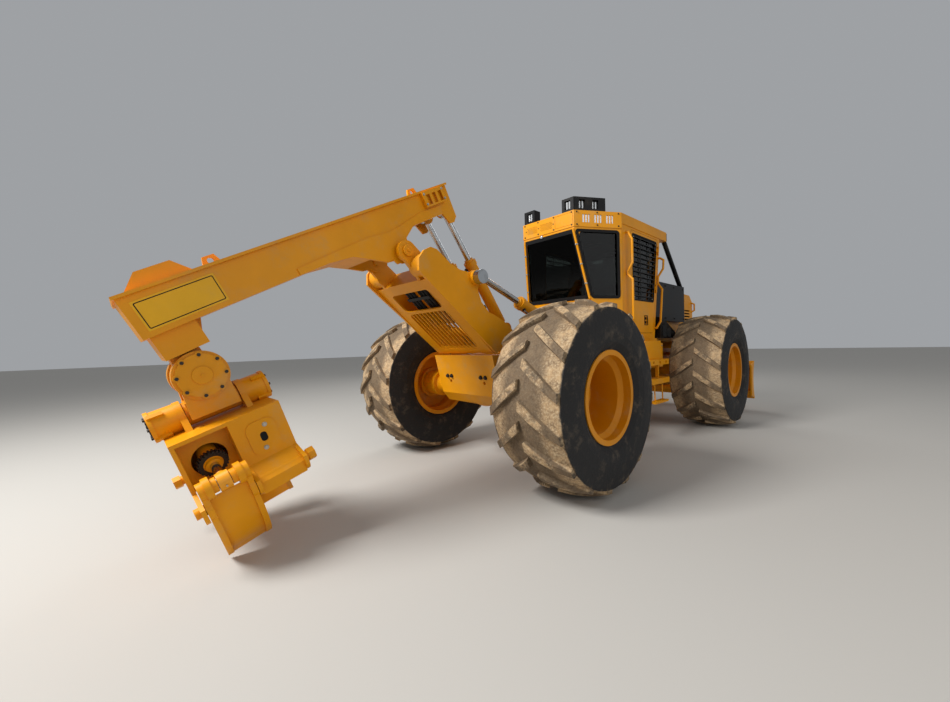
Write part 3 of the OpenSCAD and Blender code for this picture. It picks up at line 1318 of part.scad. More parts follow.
// Blade, its arms and its two cylinders
module blade() {
    x = front_axle_x + blade_reach;
    z0 = blade_lift;
    z1 = blade_lift + blade_h;
    color(yellow) {
        // curved mouldboard with its cutting edge and end plates
        r = blade_h * 1.1;
        c = [x + r - 60, (z0 + z1) / 2];
        a = asin(blade_h / 2 / r);
        across(blade_half) polygon(concat(arc(c, r, 180 - a, 180 + a, 10),
            arc(c, r + 30, 180 + a, 180 - a, 10)));
        both_sides() plate(blade_half - 12, 24) polygon(concat(arc(c, r, 180 - a, 180 + a, 10),
            [[x - 190, z0 + 60], [x - 190, z1 - 60]]));
        for (z = [z0 + 80, z1 - 120]) across(blade_half - 20) translate([x - 150, z])
            square([100, 60]);
        // arms back to the pivots
        both_sides() difference() {
            plate(front_half + 95, 50) union() {
                translate(blade_pin) circle(75);
                polygon([blade_pin + [-20, -72], [x - 120, z0 + 60], [x - 120, z0 + 260],
                    blade_pin + [0, 75]]);
            }
        }
        both_sides() translate([blade_pin[0], front_half + 70, blade_pin[1]]) cyl_y(blade_pin_r, 110);
        // cheeks of the blade cylinders' rod eyes
        both_sides() translate([0, blade_cyl_y, 0]) for (s = [-1, 1]) plate(s * (32 + side_gap + 12), 24)
            union() {
                translate(blade_rod_pin) circle(60);
                polygon([blade_rod_pin + [-40, -44], blade_rod_pin + [-30, 52], [x - 45, z1 - 60],
                    [x - 60, z1 - 300]]);
            }
    }
}
module blade_barrels() {
    color(yellow) both_sides() along_xz(blade_base_pin, blade_rod_pin, blade_cyl_y)
        barrel(880, small_cyl_d, small_rod_d, 45, 64);
}
module blade_rods() {
    color(steel) both_sides() along_xz(blade_rod_pin, 2 * blade_rod_pin - blade_base_pin, blade_cyl_y)
        rod(span(blade_base_pin, blade_rod_pin) - 400, small_rod_d, 45, 64);
}

front_chassis();
front_axle();
engine_block();
hood();
cab_shell();
roof_cap();
roof_lamps();
cab_glass();
seat();
steps();
handrails();
limb_risers();
door(-1);  // door_right
door(1);  // door_left
door_glass(-1);  // door_glass_right
door_glass(1);  // door_glass_left
rear_chassis();
rear_axle();
arch();
boom();
boom_hood();
rotator();
crosshead();
grapple_head();
tong_right();
tong_left();
tong_barrel_right();
tong_barrel_left();
tong_rod_right();
tong_rod_left();
arch_barrels();
arch_rods();
boom_barrels();
boom_rods();
blade();
blade_barrels();
blade_rods();
steer_barrel(-1);  // steer_barrel_right
steer_barrel(1);  // steer_barrel_left
steer_rod_part(-1);  // steer_rod_right
steer_rod_part(1);  // steer_rod_left
tyre(rear_axle_x, -1);  // tyre_rear_right
tyre(rear_axle_x, 1);  // tyre_rear_left
tyre(front_axle_x, -1);  // tyre_front_right
tyre(front_axle_x, 1);  // tyre_front_left
rim(rear_axle_x, -1);  // rim_rear_right
rim(rear_axle_x, 1);  // rim_rear_left
rim(front_axle_x, -1);  // rim_front_right
rim(front_axle_x, 1);  // rim_front_left
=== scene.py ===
"""Looks of the grapple skidder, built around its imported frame. Metres, X forward, Y left."""

import math

import bmesh
import bpy
from mathutils import Matrix, Vector


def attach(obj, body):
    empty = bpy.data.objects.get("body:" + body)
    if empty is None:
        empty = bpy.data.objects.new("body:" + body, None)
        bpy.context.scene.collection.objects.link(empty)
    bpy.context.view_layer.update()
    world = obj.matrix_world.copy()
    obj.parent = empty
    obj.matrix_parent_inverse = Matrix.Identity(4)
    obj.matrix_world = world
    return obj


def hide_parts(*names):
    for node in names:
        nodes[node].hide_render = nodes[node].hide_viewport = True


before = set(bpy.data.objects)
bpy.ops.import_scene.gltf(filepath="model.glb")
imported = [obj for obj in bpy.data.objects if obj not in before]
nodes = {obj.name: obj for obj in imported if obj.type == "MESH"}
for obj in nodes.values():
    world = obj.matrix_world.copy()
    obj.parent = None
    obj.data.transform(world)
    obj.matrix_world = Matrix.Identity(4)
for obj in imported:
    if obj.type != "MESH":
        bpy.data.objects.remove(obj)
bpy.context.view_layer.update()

# Sizes shared with the frame, in metres
REAR_AXLE = -1.348
FRONT_AXLE = REAR_AXLE + 4.045
TRACK = 1.262
TYRE_R = 0.915
CAB_FLOOR = 1.460
CAB_TOP = 2.990
CAB_HALF = 0.790
CAB_REAR_TOP = REAR_AXLE + 1.290
CAB_REAR_FOOT = REAR_AXLE + 1.610
CAB_FRONT_FOOT = REAR_AXLE + 2.955
CAB_SIDE_X = REAR_AXLE + 1.907
CAB_LEAN = math.tan(math.radians(9.2))
REAR_HALF = 0.440
ROOF_H = 0.220
ROOF_OVER = 0.010
SILL = 2.050
WINDOW_TOP = CAB_TOP - 0.060
DOOR_X0 = REAR_AXLE + 2.190
DOOR_SILL = 2.030
DOOR_TOP = 3.035
DOOR_POST = 0.062
WINDOW_MARGIN = 0.046
DOOR_GAP = 0.006
HOOD_X0 = REAR_AXLE + 3.110
HOOD_X1 = FRONT_AXLE + 1.045
HOOD_TOP = 2.345
HOOD_HALF = 0.655
CORNER_ANGLE = math.atan2(CAB_HALF - REAR_HALF, CAB_SIDE_X - CAB_REAR_TOP)
CORNER_LEN = math.hypot(CAB_HALF - REAR_HALF, CAB_SIDE_X - CAB_REAR_TOP)
ARCH_LEAN = math.radians(40.8)
ARCH_FOOT = Vector((REAR_AXLE - 0.300, 0, 1.327))
BOOM_SLOPE = math.radians(28)
GRAPPLE_LEAN = math.radians(19)

# Left half of the grapple in its own axes, whose signs turn round for the right half: the middle of
# its bay, and its tong cylinder's base and rod pins as (y, z)
BAY_X = 0.15875
TONG_BASE = (-0.200, -0.400)
TONG_TIP = (0.500, -0.630)
# The shell plate of a tong: its centre as (y, z), its first and last angle, its two radii, half its width
TONG_WEB_CENTRE = (-0.1273, -0.7264)
TONG_WEB = (math.radians(-2.4), math.radians(25))
TONG_WEB_R = (0.5955, 0.6030)
TONG_WEB_HALF = 0.1075

# Camera of the photograph
PHOTO_WIDTH = 950
CAMERA_PLACE = Vector((-4.5677, -3.3107, 1.4137))
CAMERA_YAW = 0.8284
CAMERA_PITCH = -0.0138
CAMERA_ROLL = -0.0257
CAMERA_FOCAL_PX = 381.29
SENSOR = 36.0


def axes_matrix(x_axis, y_axis, z_axis, origin):
    """A placement from three axes and an origin."""
    m = Matrix((x_axis, y_axis, z_axis)).transposed().to_4x4()
    m.translation = origin
    return m


def arch_point(a, b):
    """A point of the arch's own axes, up the arch and forward of it."""
    c, s = math.cos(ARCH_LEAN), math.sin(ARCH_LEAN)
    return ARCH_FOOT + Vector((-a * c + b * s, 0, a * s + b * c))


BOOM_PIVOT = arch_point(1.388, 0.082)
ARCH = axes_matrix((-math.cos(ARCH_LEAN), 0, math.sin(ARCH_LEAN)), (0, -1, 0),
                   (math.sin(ARCH_LEAN), 0, math.cos(ARCH_LEAN)), ARCH_FOOT)
BOOM = axes_matrix((-math.cos(BOOM_SLOPE), 0, -math.sin(BOOM_SLOPE)), (0, -1, 0),
                   (-math.sin(BOOM_SLOPE), 0, math.cos(BOOM_SLOPE)), BOOM_PIVOT)
SWING_PIN = BOOM @ Vector((1.850, 0, -0.185))
GRAPPLE = Matrix.Translation(SWING_PIN) @ Matrix.Rotation(-GRAPPLE_LEAN, 4, "Y")
HERE = Matrix.Identity(4)
SIDES = (("right", -1), ("left", 1))
# Y points to the right in the axes of the arch and the boom
BOOM_SIDES = (("left", -1), ("right", 1))


def rear_x(z):
    """The leaning rear wall of the cab at a height."""
    return CAB_REAR_FOOT + (CAB_REAR_TOP - 0.004 - CAB_REAR_FOOT) * (z - CAB_FLOOR) / (CAB_TOP - CAB_FLOOR)


def front_x(z):
    """The leaning front wall of the cab at a height."""
    return CAB_FRONT_FOOT + (z - CAB_FLOOR) * CAB_LEAN


def rear_half_at(z):
    """Half the width of the rear wall at a height."""
    return REAR_HALF + (rear_x(z) - CAB_REAR_TOP) * math.tan(CORNER_ANGLE)


def corner_start(z):
    """Where the slanted corner wall begins at a height, along that wall."""
    return (rear_x(z) - CAB_REAR_TOP) / math.cos(CORNER_ANGLE)


def corner_wall(side):
    """Axes on a slanted rear corner of the cab: along it, up, and outwards."""
    c, s = math.cos(CORNER_ANGLE), math.sin(CORNER_ANGLE)
    return axes_matrix((c, side * s, 0), (0, 0, 1), (-s, side * c, 0),
                       (CAB_REAR_TOP, side * REAR_HALF, 0))


def aimed(start, end, y):
    """Axes of a cylinder: X from its base pin to its rod pin, Y sideways."""
    way = Vector((end[0] - start[0], 0, end[1] - start[1])).normalized()
    return axes_matrix(way, (0, 1, 0), (-way.z, 0, way.x), (start[0], y, start[1]))


def place_camera():
    """The photograph's camera, from its calibrated place and turn."""
    yaw, pitch, roll = CAMERA_YAW, CAMERA_PITCH, CAMERA_ROLL
    ahead = Vector((math.cos(yaw) * math.cos(pitch), math.sin(yaw) * math.cos(pitch), math.sin(pitch)))
    right = ahead.cross(Vector((0, 0, 1))).normalized()
    up = right.cross(ahead)
    right, up = right * math.cos(roll) + up * math.sin(roll), up * math.cos(roll) - right * math.sin(roll)
    data = bpy.data.cameras.new("camera")
    data.sensor_width = SENSOR
    data.lens = CAMERA_FOCAL_PX / PHOTO_WIDTH * SENSOR
    data.clip_end = 200
    camera = bpy.data.objects.new("camera", data)
    bpy.context.scene.collection.objects.link(camera)
    camera.matrix_world = axes_matrix(right, up, -ahead, CAMERA_PLACE)
    bpy.context.scene.camera = camera


# Materials
def linear(code):
    """A linear colour from a hex code."""
    parts = [int(code[i:i + 2], 16) / 255 for i in (1, 3, 5)]
    return tuple(c / 12.92 if c <= 0.04045 else ((c + 0.055) / 1.055) ** 2.4 for c in parts) + (1.0,)


class Shader:
    """Builds one node material step by step."""

    def __init__(self, name):
        self.material = bpy.data.materials.new(name)
        self.material.use_nodes = True
        self.tree = self.material.node_tree
        self.surface = self.tree.nodes["Principled BSDF"]
        self.place = self.tree.nodes.new("ShaderNodeTexCoord").outputs["Object"]

    def add(self, kind, **settings):
        node = self.tree.nodes.new("ShaderNode" + kind)
        for key, value in settings.items():
            setattr(node, key, value)
        return node

    def link(self, value, socket):
        if hasattr(value, "is_output"):
            self.tree.links.new(value, socket)
        else:
            socket.default_value = value

    def noise(self, scale, detail=6.0, rough=0.6, place=None, distortion=0.0):
        node = self.add("TexNoise")
        self.link(place or self.place, node.inputs["Vector"])
        for key, value in (("Scale", scale), ("Detail", detail), ("Roughness", rough),
                           ("Distortion", distortion)):
            node.inputs[key].default_value = value
        return node.outputs["Fac"]

    def ramp(self, value, low, high):
        """Turns a value between low and high into 0 to 1."""
        node = self.add("MapRange", interpolation_type="SMOOTHSTEP")
        self.link(value, node.inputs["Value"])
        node.inputs["From Min"].default_value = low
        node.inputs["From Max"].default_value = high
        return node.outputs["Result"]

    def maths(self, operation, a, b=0.0):
        node = self.add("Math", operation=operation)
        self.link(a, node.inputs[0])
        self.link(b, node.inputs[1])
        return node.outputs[0]

    def mix(self, factor, a, b):
        node = self.add("Mix", data_type="RGBA")
        self.link(factor, node.inputs[0])
        self.link(a, node.inputs[6])
        self.link(b, node.inputs[7])
        return node.outputs[2]

    def moved(self, place, turn=(0, 0, 0), scale=(1, 1, 1)):
        """Object coordinates centred on a place, then turned."""
        node = self.add("Mapping", vector_type="TEXTURE")
        self.link(self.place, node.inputs["Vector"])
        node.inputs["Location"].default_value = place
        node.inputs["Rotation"].default_value = turn
        node.inputs["Scale"].default_value = scale
        return node.outputs["Vector"]

    def split(self, vector):
        node = self.add("SeparateXYZ")
        self.link(vector, node.inputs[0])
        return node.outputs

    def inside(self, *limits):
        """1 where a weighted sum of the coordinates is below its limit, for every (x, |y|, z, limit)."""
        x, y, z = self.split(self.place)
        across = self.maths("ABSOLUTE", y)
        found = None
        for kx, ky, kz, limit in limits:
            total = self.maths("MULTIPLY", x, kx)
            for part, weight in ((across, ky), (z, kz)):
                if weight:
                    total = self.maths("ADD", total, self.maths("MULTIPLY", part, weight))
            test = self.maths("LESS_THAN", total, limit)
            found = test if found is None else self.maths("MULTIPLY", found, test)
        return found

    def bump(self, height, strength, distance):
        node = self.add("Bump")
        self.link(height, node.inputs["Height"])
        node.inputs["Strength"].default_value = strength
        node.inputs["Distance"].default_value = distance
        self.link(node.outputs["Normal"], self.surface.inputs["Normal"])

    def done(self, colour=None, rough=None, **sockets):
        if colour is not None:
            self.link(colour, self.surface.inputs["Base Color"])
        if rough is not None:
            self.link(rough, self.surface.inputs["Roughness"])
        for key, value in sockets.items():
            self.surface.inputs[key.replace("_", " ")].default_value = value
        return self.material


def painted(name, colour, dust="#b59b74", dusty=0.35, rough=0.4, other=None, where=None):
    """Sprayed paint with orange peel, patchy shade, dust and scuffs, and a second colour somewhere."""
    s = Shader(name)
    shade = s.noise(1.3, 4)
    base = s.mix(s.ramp(shade, 0.3, 0.7), linear(colour), [c * 0.86 for c in linear(colour)[:3]] + [1])
    if where:
        base = s.mix(where(s), base, linear(other))
    dirt = s.maths("MULTIPLY", s.ramp(s.noise(3.1, 9, 0.72), 0.47, 0.75), dusty)
    speck = s.maths("MULTIPLY", s.ramp(s.noise(42, 4, 0.6), 0.66, 0.74), 0.35 * dusty)
    dirt = s.maths("MAXIMUM", dirt, speck)
    base = s.mix(dirt, base, linear(dust))
    roughness = s.maths("ADD", s.maths("MULTIPLY", dirt, 0.5), rough)
    s.bump(s.noise(160, 2), 0.035, 0.002)
    return s.done(base, roughness, Specular_IOR_Level=0.22)


def steel(name, colour, rough, grain=(1, 1, 1), metal=1.0):
    """Bare metal with fine drawn lines and stains."""
    s = Shader(name)
    lines = s.noise(90, 5, 0.7, s.moved((0, 0, 0), scale=grain))
    stain = s.ramp(s.noise(9, 6), 0.45, 0.75)
    base = s.mix(s.maths("MULTIPLY", stain, 0.35), linear(colour), linear("#5a4a3c"))
    s.bump(lines, 0.08, 0.001)
    return s.done(base, s.maths("ADD", s.maths("MULTIPLY", lines, 0.18), rough), Metallic=metal)


def rubber(name, colour="#1d1c1b", dust="#7c6c57", dusty=0.3):
    """Matt rubber or plastic with dust in its grain."""
    s = Shader(name)
    grain = s.noise(220, 3)
    base = s.mix(s.maths("MULTIPLY", s.ramp(s.noise(5, 8, 0.7), 0.48, 0.75), dusty), linear(colour),
                 linear(dust))
    s.bump(grain, 0.12, 0.001)
    return s.done(base, 0.66, Specular_IOR_Level=0.25)


def muddy_shaded_tyre(name, centre):
    """Tyre rubber: dried mud over the tread, worn patches on the lugs, painted shade in dark brown low on the
    lugs' sides and across the valley floors, black shoulders.
    """
    s = Shader(name)
    local = s.moved(centre)
    x, y, z = s.split(local)
    radius = s.maths("SQRT", s.maths("ADD", s.maths("MULTIPLY", x, x), s.maths("MULTIPLY", z, z)))
    across = s.maths("ABSOLUTE", y)
    ragged = s.noise(9, 8, 0.7, local)
    edge = s.maths("ADD", across, s.maths("MULTIPLY", ragged, 0.05))
    tread = s.maths("SUBTRACT", 1.0, s.ramp(edge, 0.372, 0.392))
    tread = s.maths("MULTIPLY", tread, s.ramp(radius, 0.70, 0.76))
    worn = s.maths("MULTIPLY", s.ramp(s.noise(5.5, 10, 0.75, local), 0.44, 0.56), s.ramp(radius, 0.88, 0.9))
    mud_cover = s.maths("MULTIPLY", tread, s.maths("SUBTRACT", 1.0, s.maths("MULTIPLY", worn, 0.6)))
    mud = s.mix(s.ramp(s.noise(14, 8, 0.7, local), 0.35, 0.65), linear("#b3946c"), linear("#7d664b"))
    mud = s.mix(s.ramp(s.noise(60, 5, 0.6, local), 0.4, 0.75), mud, linear("#c8b08c"))
    # painted shade: the valley floors and the lower sides of the lugs turn dark brown, as if in shadow; from
    # here on the mud colour carries this shade
    flank_shade = s.maths("MULTIPLY", s.ramp(radius, 0.845, 0.862),
                    s.maths("SUBTRACT", 1.0, s.ramp(radius, 0.885, 0.9)))
    mud = s.mix(s.maths("MULTIPLY", flank_shade, 0.75), mud, linear("#4a3c2d"))
    dust = s.maths("MULTIPLY", s.ramp(s.noise(7, 9, 0.75, local), 0.5, 0.72), 0.25)
    black = s.mix(dust, linear("#1b1a1a"), linear("#8d7b64"))
    s.bump(s.maths("ADD", s.noise(26, 8, 0.7, local), s.maths("MULTIPLY", s.noise(120, 4, 0.6, local), 0.4)),
           0.55, 0.012)
    return s.done(s.mix(mud_cover, black, mud), 0.82)


def window_glass(name):
    """Tinted safety glass with a faint film of dust."""
    s = Shader(name)
    film = s.maths("MULTIPLY", s.ramp(s.noise(6, 8, 0.7), 0.5, 0.85), 0.08)
    base = s.mix(film, linear("#4a504e"), linear("#85796a"))
    return s.done(base, s.maths("ADD", film, 0.01), Transmission_Weight=1.0, IOR=1.25, Specular_IOR_Level=0.2)


def lens_glass(name):
    """Ribbed clear lens over a bright reflector."""
    s = Shader(name)
    ribs = s.add("TexWave", wave_type="BANDS", bands_direction="Z")
    s.link(s.place, ribs.inputs["Vector"])
    ribs.inputs["Scale"].default_value = 22
    s.bump(ribs.outputs["Fac"], 0.3, 0.002)
    return s.done(s.mix(ribs.outputs["Fac"], linear("#b9bdc0"), linear("#e4e6e6")), 0.12, Metallic=0.35)


def cloth(name):
    """Woven seat cloth, charcoal with a lighter fleck."""
    s = Shader(name)
    weave = []
    for direction in ("Y", "Z"):
        wave = s.add("TexWave", wave_type="BANDS", bands_direction=direction)
        s.link(s.place, wave.inputs["Vector"])
        wave.inputs["Scale"].default_value = 130
        weave.append(wave.outputs["Fac"])
    threads = s.maths("MULTIPLY", weave[0], weave[1])
    s.bump(threads, 0.35, 0.0015)
    base = s.mix(threads, linear("#1f2024"), linear("#3b3d44"))
    return s.done(base, 0.88, Sheen_Weight=0.2)


YELLOW_CODE = "#eb9c08"
INK = "#080809"
YELLOW = painted("yellow_paint", YELLOW_CODE)
RIM_YELLOW = painted("rim_paint", "#dd8d06", dusty=0.4)
BLACK_PAINT = painted("black_paint", INK, dust="#6e604e", dusty=0.2, rough=0.45)
ENGINE_GREY = painted("engine_paint", "#55585a", dusty=0.3, rough=0.5)
CHROME = steel("chrome_rod", "#c4c7c9", 0.12)
WORN_STEEL = steel("worn_steel", "#8f8a84", 0.38)
BRIGHT_BOLT = steel("bright_bolt", "#b9b4a8", 0.32, metal=0.8)
DARK_STEEL = steel("dark_steel", "#3a3733", 0.5, metal=0.7)
HOSE = rubber("hose_rubber", "#151515", dusty=0.2)
SEAL = rubber("window_seal", "#0a0a0b", dusty=0.06)
TRIM = rubber("cab_trim", "#2a2b2d", dusty=0.12)
VISOR = rubber("sun_visor", "#4a4d52", dusty=0.1)
GLASS = window_glass("window_glass")
LENS = lens_glass("lamp_lens")
SIGN = painted("sign_yellow", "#f0b418", dusty=0.15)
SEAT_CLOTH = cloth("seat_cloth")


def cab_inside_shade(s):
    """The inner faces of the cab's walls, painted near black as painted shade for the dark inside of the cab.
    """
    c, k = math.cos(CORNER_ANGLE), math.sin(CORNER_ANGLE)
    lean = (CAB_REAR_FOOT - CAB_REAR_TOP + 0.004) / (CAB_TOP - CAB_FLOOR)
    depth = 0.02
    return s.inside((0, 1, 0, CAB_HALF - depth),
                    (1, 0, -CAB_LEAN, CAB_FRONT_FOOT - CAB_FLOOR * CAB_LEAN - depth),
                    (-1, 0, -lean, -CAB_REAR_FOOT - lean * CAB_FLOOR - depth),
                    (-k, c, 0, -k * CAB_REAR_TOP + c * REAR_HALF - depth), (0, 0, -1, -CAB_FLOOR - depth))


def door_guard(s):
    """The black guard in a door's window."""
    w = WINDOW_MARGIN + DOOR_GAP
    return s.inside((-1, 0, 0, -DOOR_X0 - w), (0, 0, -1, -DOOR_SILL), (0, 0, 1, DOOR_TOP - w),
                    (1, 0, -CAB_LEAN, CAB_FRONT_FOOT - CAB_FLOOR * CAB_LEAN - DOOR_POST - w))


def hood_inside(s):
    """The inner faces of the hood, and the exhaust stack above it."""
    return s.inside((0, 1, 0, HOOD_HALF - 0.012), (0, 0, 1, HOOD_TOP - 0.01), (-1, 0, 0, -HOOD_X0 - 0.012),
                    (1, 0, 0, HOOD_X1 - 0.012))


def rod_finish(name, pin, radius):
    """A polished rod whose eye is painted."""
    s = Shader(name)
    x, y, z = s.split(s.moved(pin))
    away = s.maths("SQRT", s.maths("ADD", s.maths("MULTIPLY", x, x),
                                   s.maths("ADD", s.maths("MULTIPLY", z, z), s.maths("MULTIPLY", y, y))))
    eye = s.maths("LESS_THAN", away, radius)
    lines = s.noise(90, 5, 0.7)
    base = s.mix(eye, linear("#c4c7c9"), linear(YELLOW_CODE))
    s.bump(lines, 0.05, 0.001)
    s.link(s.maths("SUBTRACT", 1.0, eye), s.surface.inputs["Metallic"])
    return s.done(base, s.maths("ADD", s.maths("MULTIPLY", eye, 0.3), 0.12))


def dress(node_names, material):
    """Puts a material on frame nodes."""
    for name in node_names:
        node = nodes[name]
        if not node.material_slots:
            node.data.materials.append(material)
        for slot in node.material_slots:
            slot.material = material


dress(nodes, YELLOW)
dress(["roof_lamps", "limb_risers"], BLACK_PAINT)
dress(["engine_block"], ENGINE_GREY)
dress(["cab_glass", "door_glass_right", "door_glass_left"], GLASS)
# the cab's yellow paint, with painted shade in near black on the inner faces of its walls
dress(["cab_shell"], painted("cab_paint_and_inner_shade", YELLOW_CODE, other=INK, where=cab_inside_shade))
dress(["hood"], painted("hood_paint", YELLOW_CODE, other=INK, where=hood_inside))
dress(["arch_rods", "boom_rods", "blade_rods"], CHROME)
for side, k in SIDES:
    dress(["door_" + side], painted("door_paint_" + side, YELLOW_CODE, other=INK, where=door_guard))
    dress(["steer_rod_" + side], CHROME)
    tong_eye = GRAPPLE @ Vector((k * BAY_X, k * TONG_TIP[0], TONG_TIP[1]))
    dress(["tong_rod_" + side], rod_finish("tong_rod_finish_" + side, tong_eye, 0.075))
for end, axle_x in (("rear", REAR_AXLE), ("front", FRONT_AXLE)):
    for side, k in SIDES:
        dress([f"tyre_{end}_{side}"],
              muddy_shaded_tyre(f"muddy_shaded_tyre_{end}_{side}", (axle_x, k * TRACK, TYRE_R)))
        dress([f"rim_{end}_{side}"], RIM_YELLOW)


# Mesh helpers
def finish_piece(name, builder, body, material, at=HERE, smooth=None):
    """Makes a piece from a bmesh, with its place in its mesh, and lets it ride on a body."""
    builder.transform(at)
    bmesh.ops.recalc_face_normals(builder, faces=builder.faces)
    mesh = bpy.data.meshes.new(name)
    builder.to_mesh(mesh)
    builder.free()
    mesh.materials.append(material)
    piece = bpy.data.objects.new(name, mesh)
    bpy.context.scene.collection.objects.link(piece)
    if smooth is not None:
        for face in mesh.polygons:
            face.use_smooth = True
        mesh.set_sharp_from_angle(angle=math.radians(smooth))
    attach(piece, body)
    return piece


def along(axis):
    """A turn that brings Z onto an axis."""
    return Vector(axis).to_track_quat("Z", "Y").to_matrix().to_4x4()


def block(bm, low, high, bevel=0.0, segments=2):
    """A box from corner to corner, with its edges rounded."""
    low, high = Vector(low), Vector(high)
    place = Matrix.Translation((low + high) / 2) @ Matrix.Diagonal(high - low).to_4x4()
    made = bmesh.ops.create_cube(bm, size=1, matrix=place)
    if bevel:
        edges = list(dict.fromkeys(e for v in made["verts"] for e in v.link_edges))
        bmesh.ops.bevel(bm, geom=edges, offset=bevel, segments=segments, affect="EDGES",
                        profile=0.5, material=-1, clamp_overlap=True)


def disc(bm, centre, axis, radius, height, segments=32, top=None, bevel=0.0):
    """A round or many-sided plate, standing on its centre along an axis."""
    place = Matrix.Translation(Vector(centre)) @ along(axis) @ Matrix.Translation((0, 0, height / 2))
    made = bmesh.ops.create_cone(bm, cap_ends=True, segments=segments, radius1=radius,
                                 radius2=radius if top is None else top, depth=height, matrix=place)
    if bevel:
        caps = dict.fromkeys(f for v in made["verts"] for f in v.link_faces if len(f.verts) > 4)
        edges = list(dict.fromkeys(e for f in caps for e in f.edges))
        bmesh.ops.bevel(bm, geom=edges, offset=bevel, segments=2, affect="EDGES",
                        profile=0.5, material=-1, clamp_overlap=True)


def ring(bm, centre, axis, inner, outer, height, segments=32):
    """A washer or collar, turned from its rectangular section."""
    place = Matrix.Translation(Vector(centre)) @ along(axis)
    corners = [bm.verts.new(place @ Vector(p)) for p in
               ((inner, 0, 0), (outer, 0, 0), (outer, 0, height), (inner, 0, height))]
    edges = [bm.edges.new((corners[i], corners[(i + 1) % 4])) for i in range(4)]
    bmesh.ops.spin(bm, geom=corners + edges, cent=place.translation, angle=math.tau,
                   axis=place.to_3x3() @ Vector((0, 0, 1)), steps=segments, use_merge=True)


def add_part(whole, part, at):
    """Moves a small bmesh to its place and joins it to a larger one."""
    part.transform(at)
    mesh = bpy.data.meshes.new("part")
    part.to_mesh(mesh)
    part.free()
    whole.from_mesh(mesh)
    bpy.data.meshes.remove(mesh)


def around(count, radius, start=0.0):
    """Evenly spaced points of a circle, from a start angle."""
    angles = [math.tau * i / count + start for i in range(count)]
    return [(radius * math.cos(a), radius * math.sin(a)) for a in angles]


def bolts(name, body, places, axis, size, material, at=HERE, washer=True):
    """Hex heads on washers, all in one piece."""
    bm = bmesh.new()
    axis = Vector(axis)
    for place in places:
        if washer:
            disc(bm, place, axis, size * 1.25, size * 0.25, 16)
        disc(bm, Vector(place) + axis * size * 0.2, axis, size, size * 0.8, 6, bevel=size * 0.08)
    finish_piece(name, bm, body, material, at)


def rounded_path(points, radius, steps=6):
    """A path with its corners rounded."""
    points = [Vector(p) for p in points]
    path = [points[0]]
    for before, corner, after in zip(points, points[1:], points[2:]):
        r = min(radius, (before - corner).length * 0.45, (after - corner).length * 0.45)
        p = corner + (before - corner).normalized() * r
        q = corner + (after - corner).normalized() * r
        for i in range(steps + 1):
            t = i / steps
            path.append(p * (1 - t) ** 2 + corner * 2 * t * (1 - t) + q * t ** 2)
    return path + [points[-1]]


def tube(name, body, paths, radius, material, bend=0.05, at=HERE):
    """Round tubes or hoses along bent paths, as one curve piece."""
    curve = bpy.data.curves.new(name, "CURVE")
    curve.dimensions = "3D"
    curve.bevel_depth = radius
    curve.bevel_resolution = 4
    curve.use_fill_caps = True
    for points in paths:
        path = rounded_path([at @ Vector(p) for p in points], bend)
        spline = curve.splines.new("POLY")
        spline.points.add(len(path) - 1)
        for knot, place in zip(spline.points, path):
            knot.co = (*place, 1)
    curve.materials.append(material)
    piece = bpy.data.objects.new(name, curve)
    bpy.context.scene.collection.objects.link(piece)
    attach(piece, body)


def frame_bar(name, body, corners, outwards, radius, width, height, material, sink=0.002):
    """A flat frame on a wall: it follows a rounded outline, with an inner edge and a thickness."""
    outwards = Vector(outwards).normalized()
    bm = bmesh.new()
    verts = [bm.verts.new(Vector(c) - outwards * sink) for c in corners]
    bm.faces.new(verts)
    bmesh.ops.bevel(bm, geom=verts, offset=radius, segments=6, affect="VERTICES", profile=0.5, material=-1)
    whole = list(bm.faces)
    rim = bmesh.ops.inset_region(bm, faces=whole, thickness=width, use_even_offset=True,
                                 use_boundary=True)["faces"]
    bmesh.ops.delete(bm, geom=[f for f in bm.faces if f not in rim], context="FACES_ONLY")
    out = bmesh.ops.extrude_face_region(bm, geom=list(bm.faces))
    moved = [v for v in out["geom"] if isinstance(v, bmesh.types.BMVert)]
    bmesh.ops.translate(bm, verts=moved, vec=outwards * (height + sink))
    finish_piece(name, bm, body, material)


def plate_on(name, body, low, high, material, at=HERE, bevel=0.003):
    """A plate or small box with rounded edges."""
    bm = bmesh.new()
    block(bm, low, high, bevel)
    finish_piece(name, bm, body, material, at)


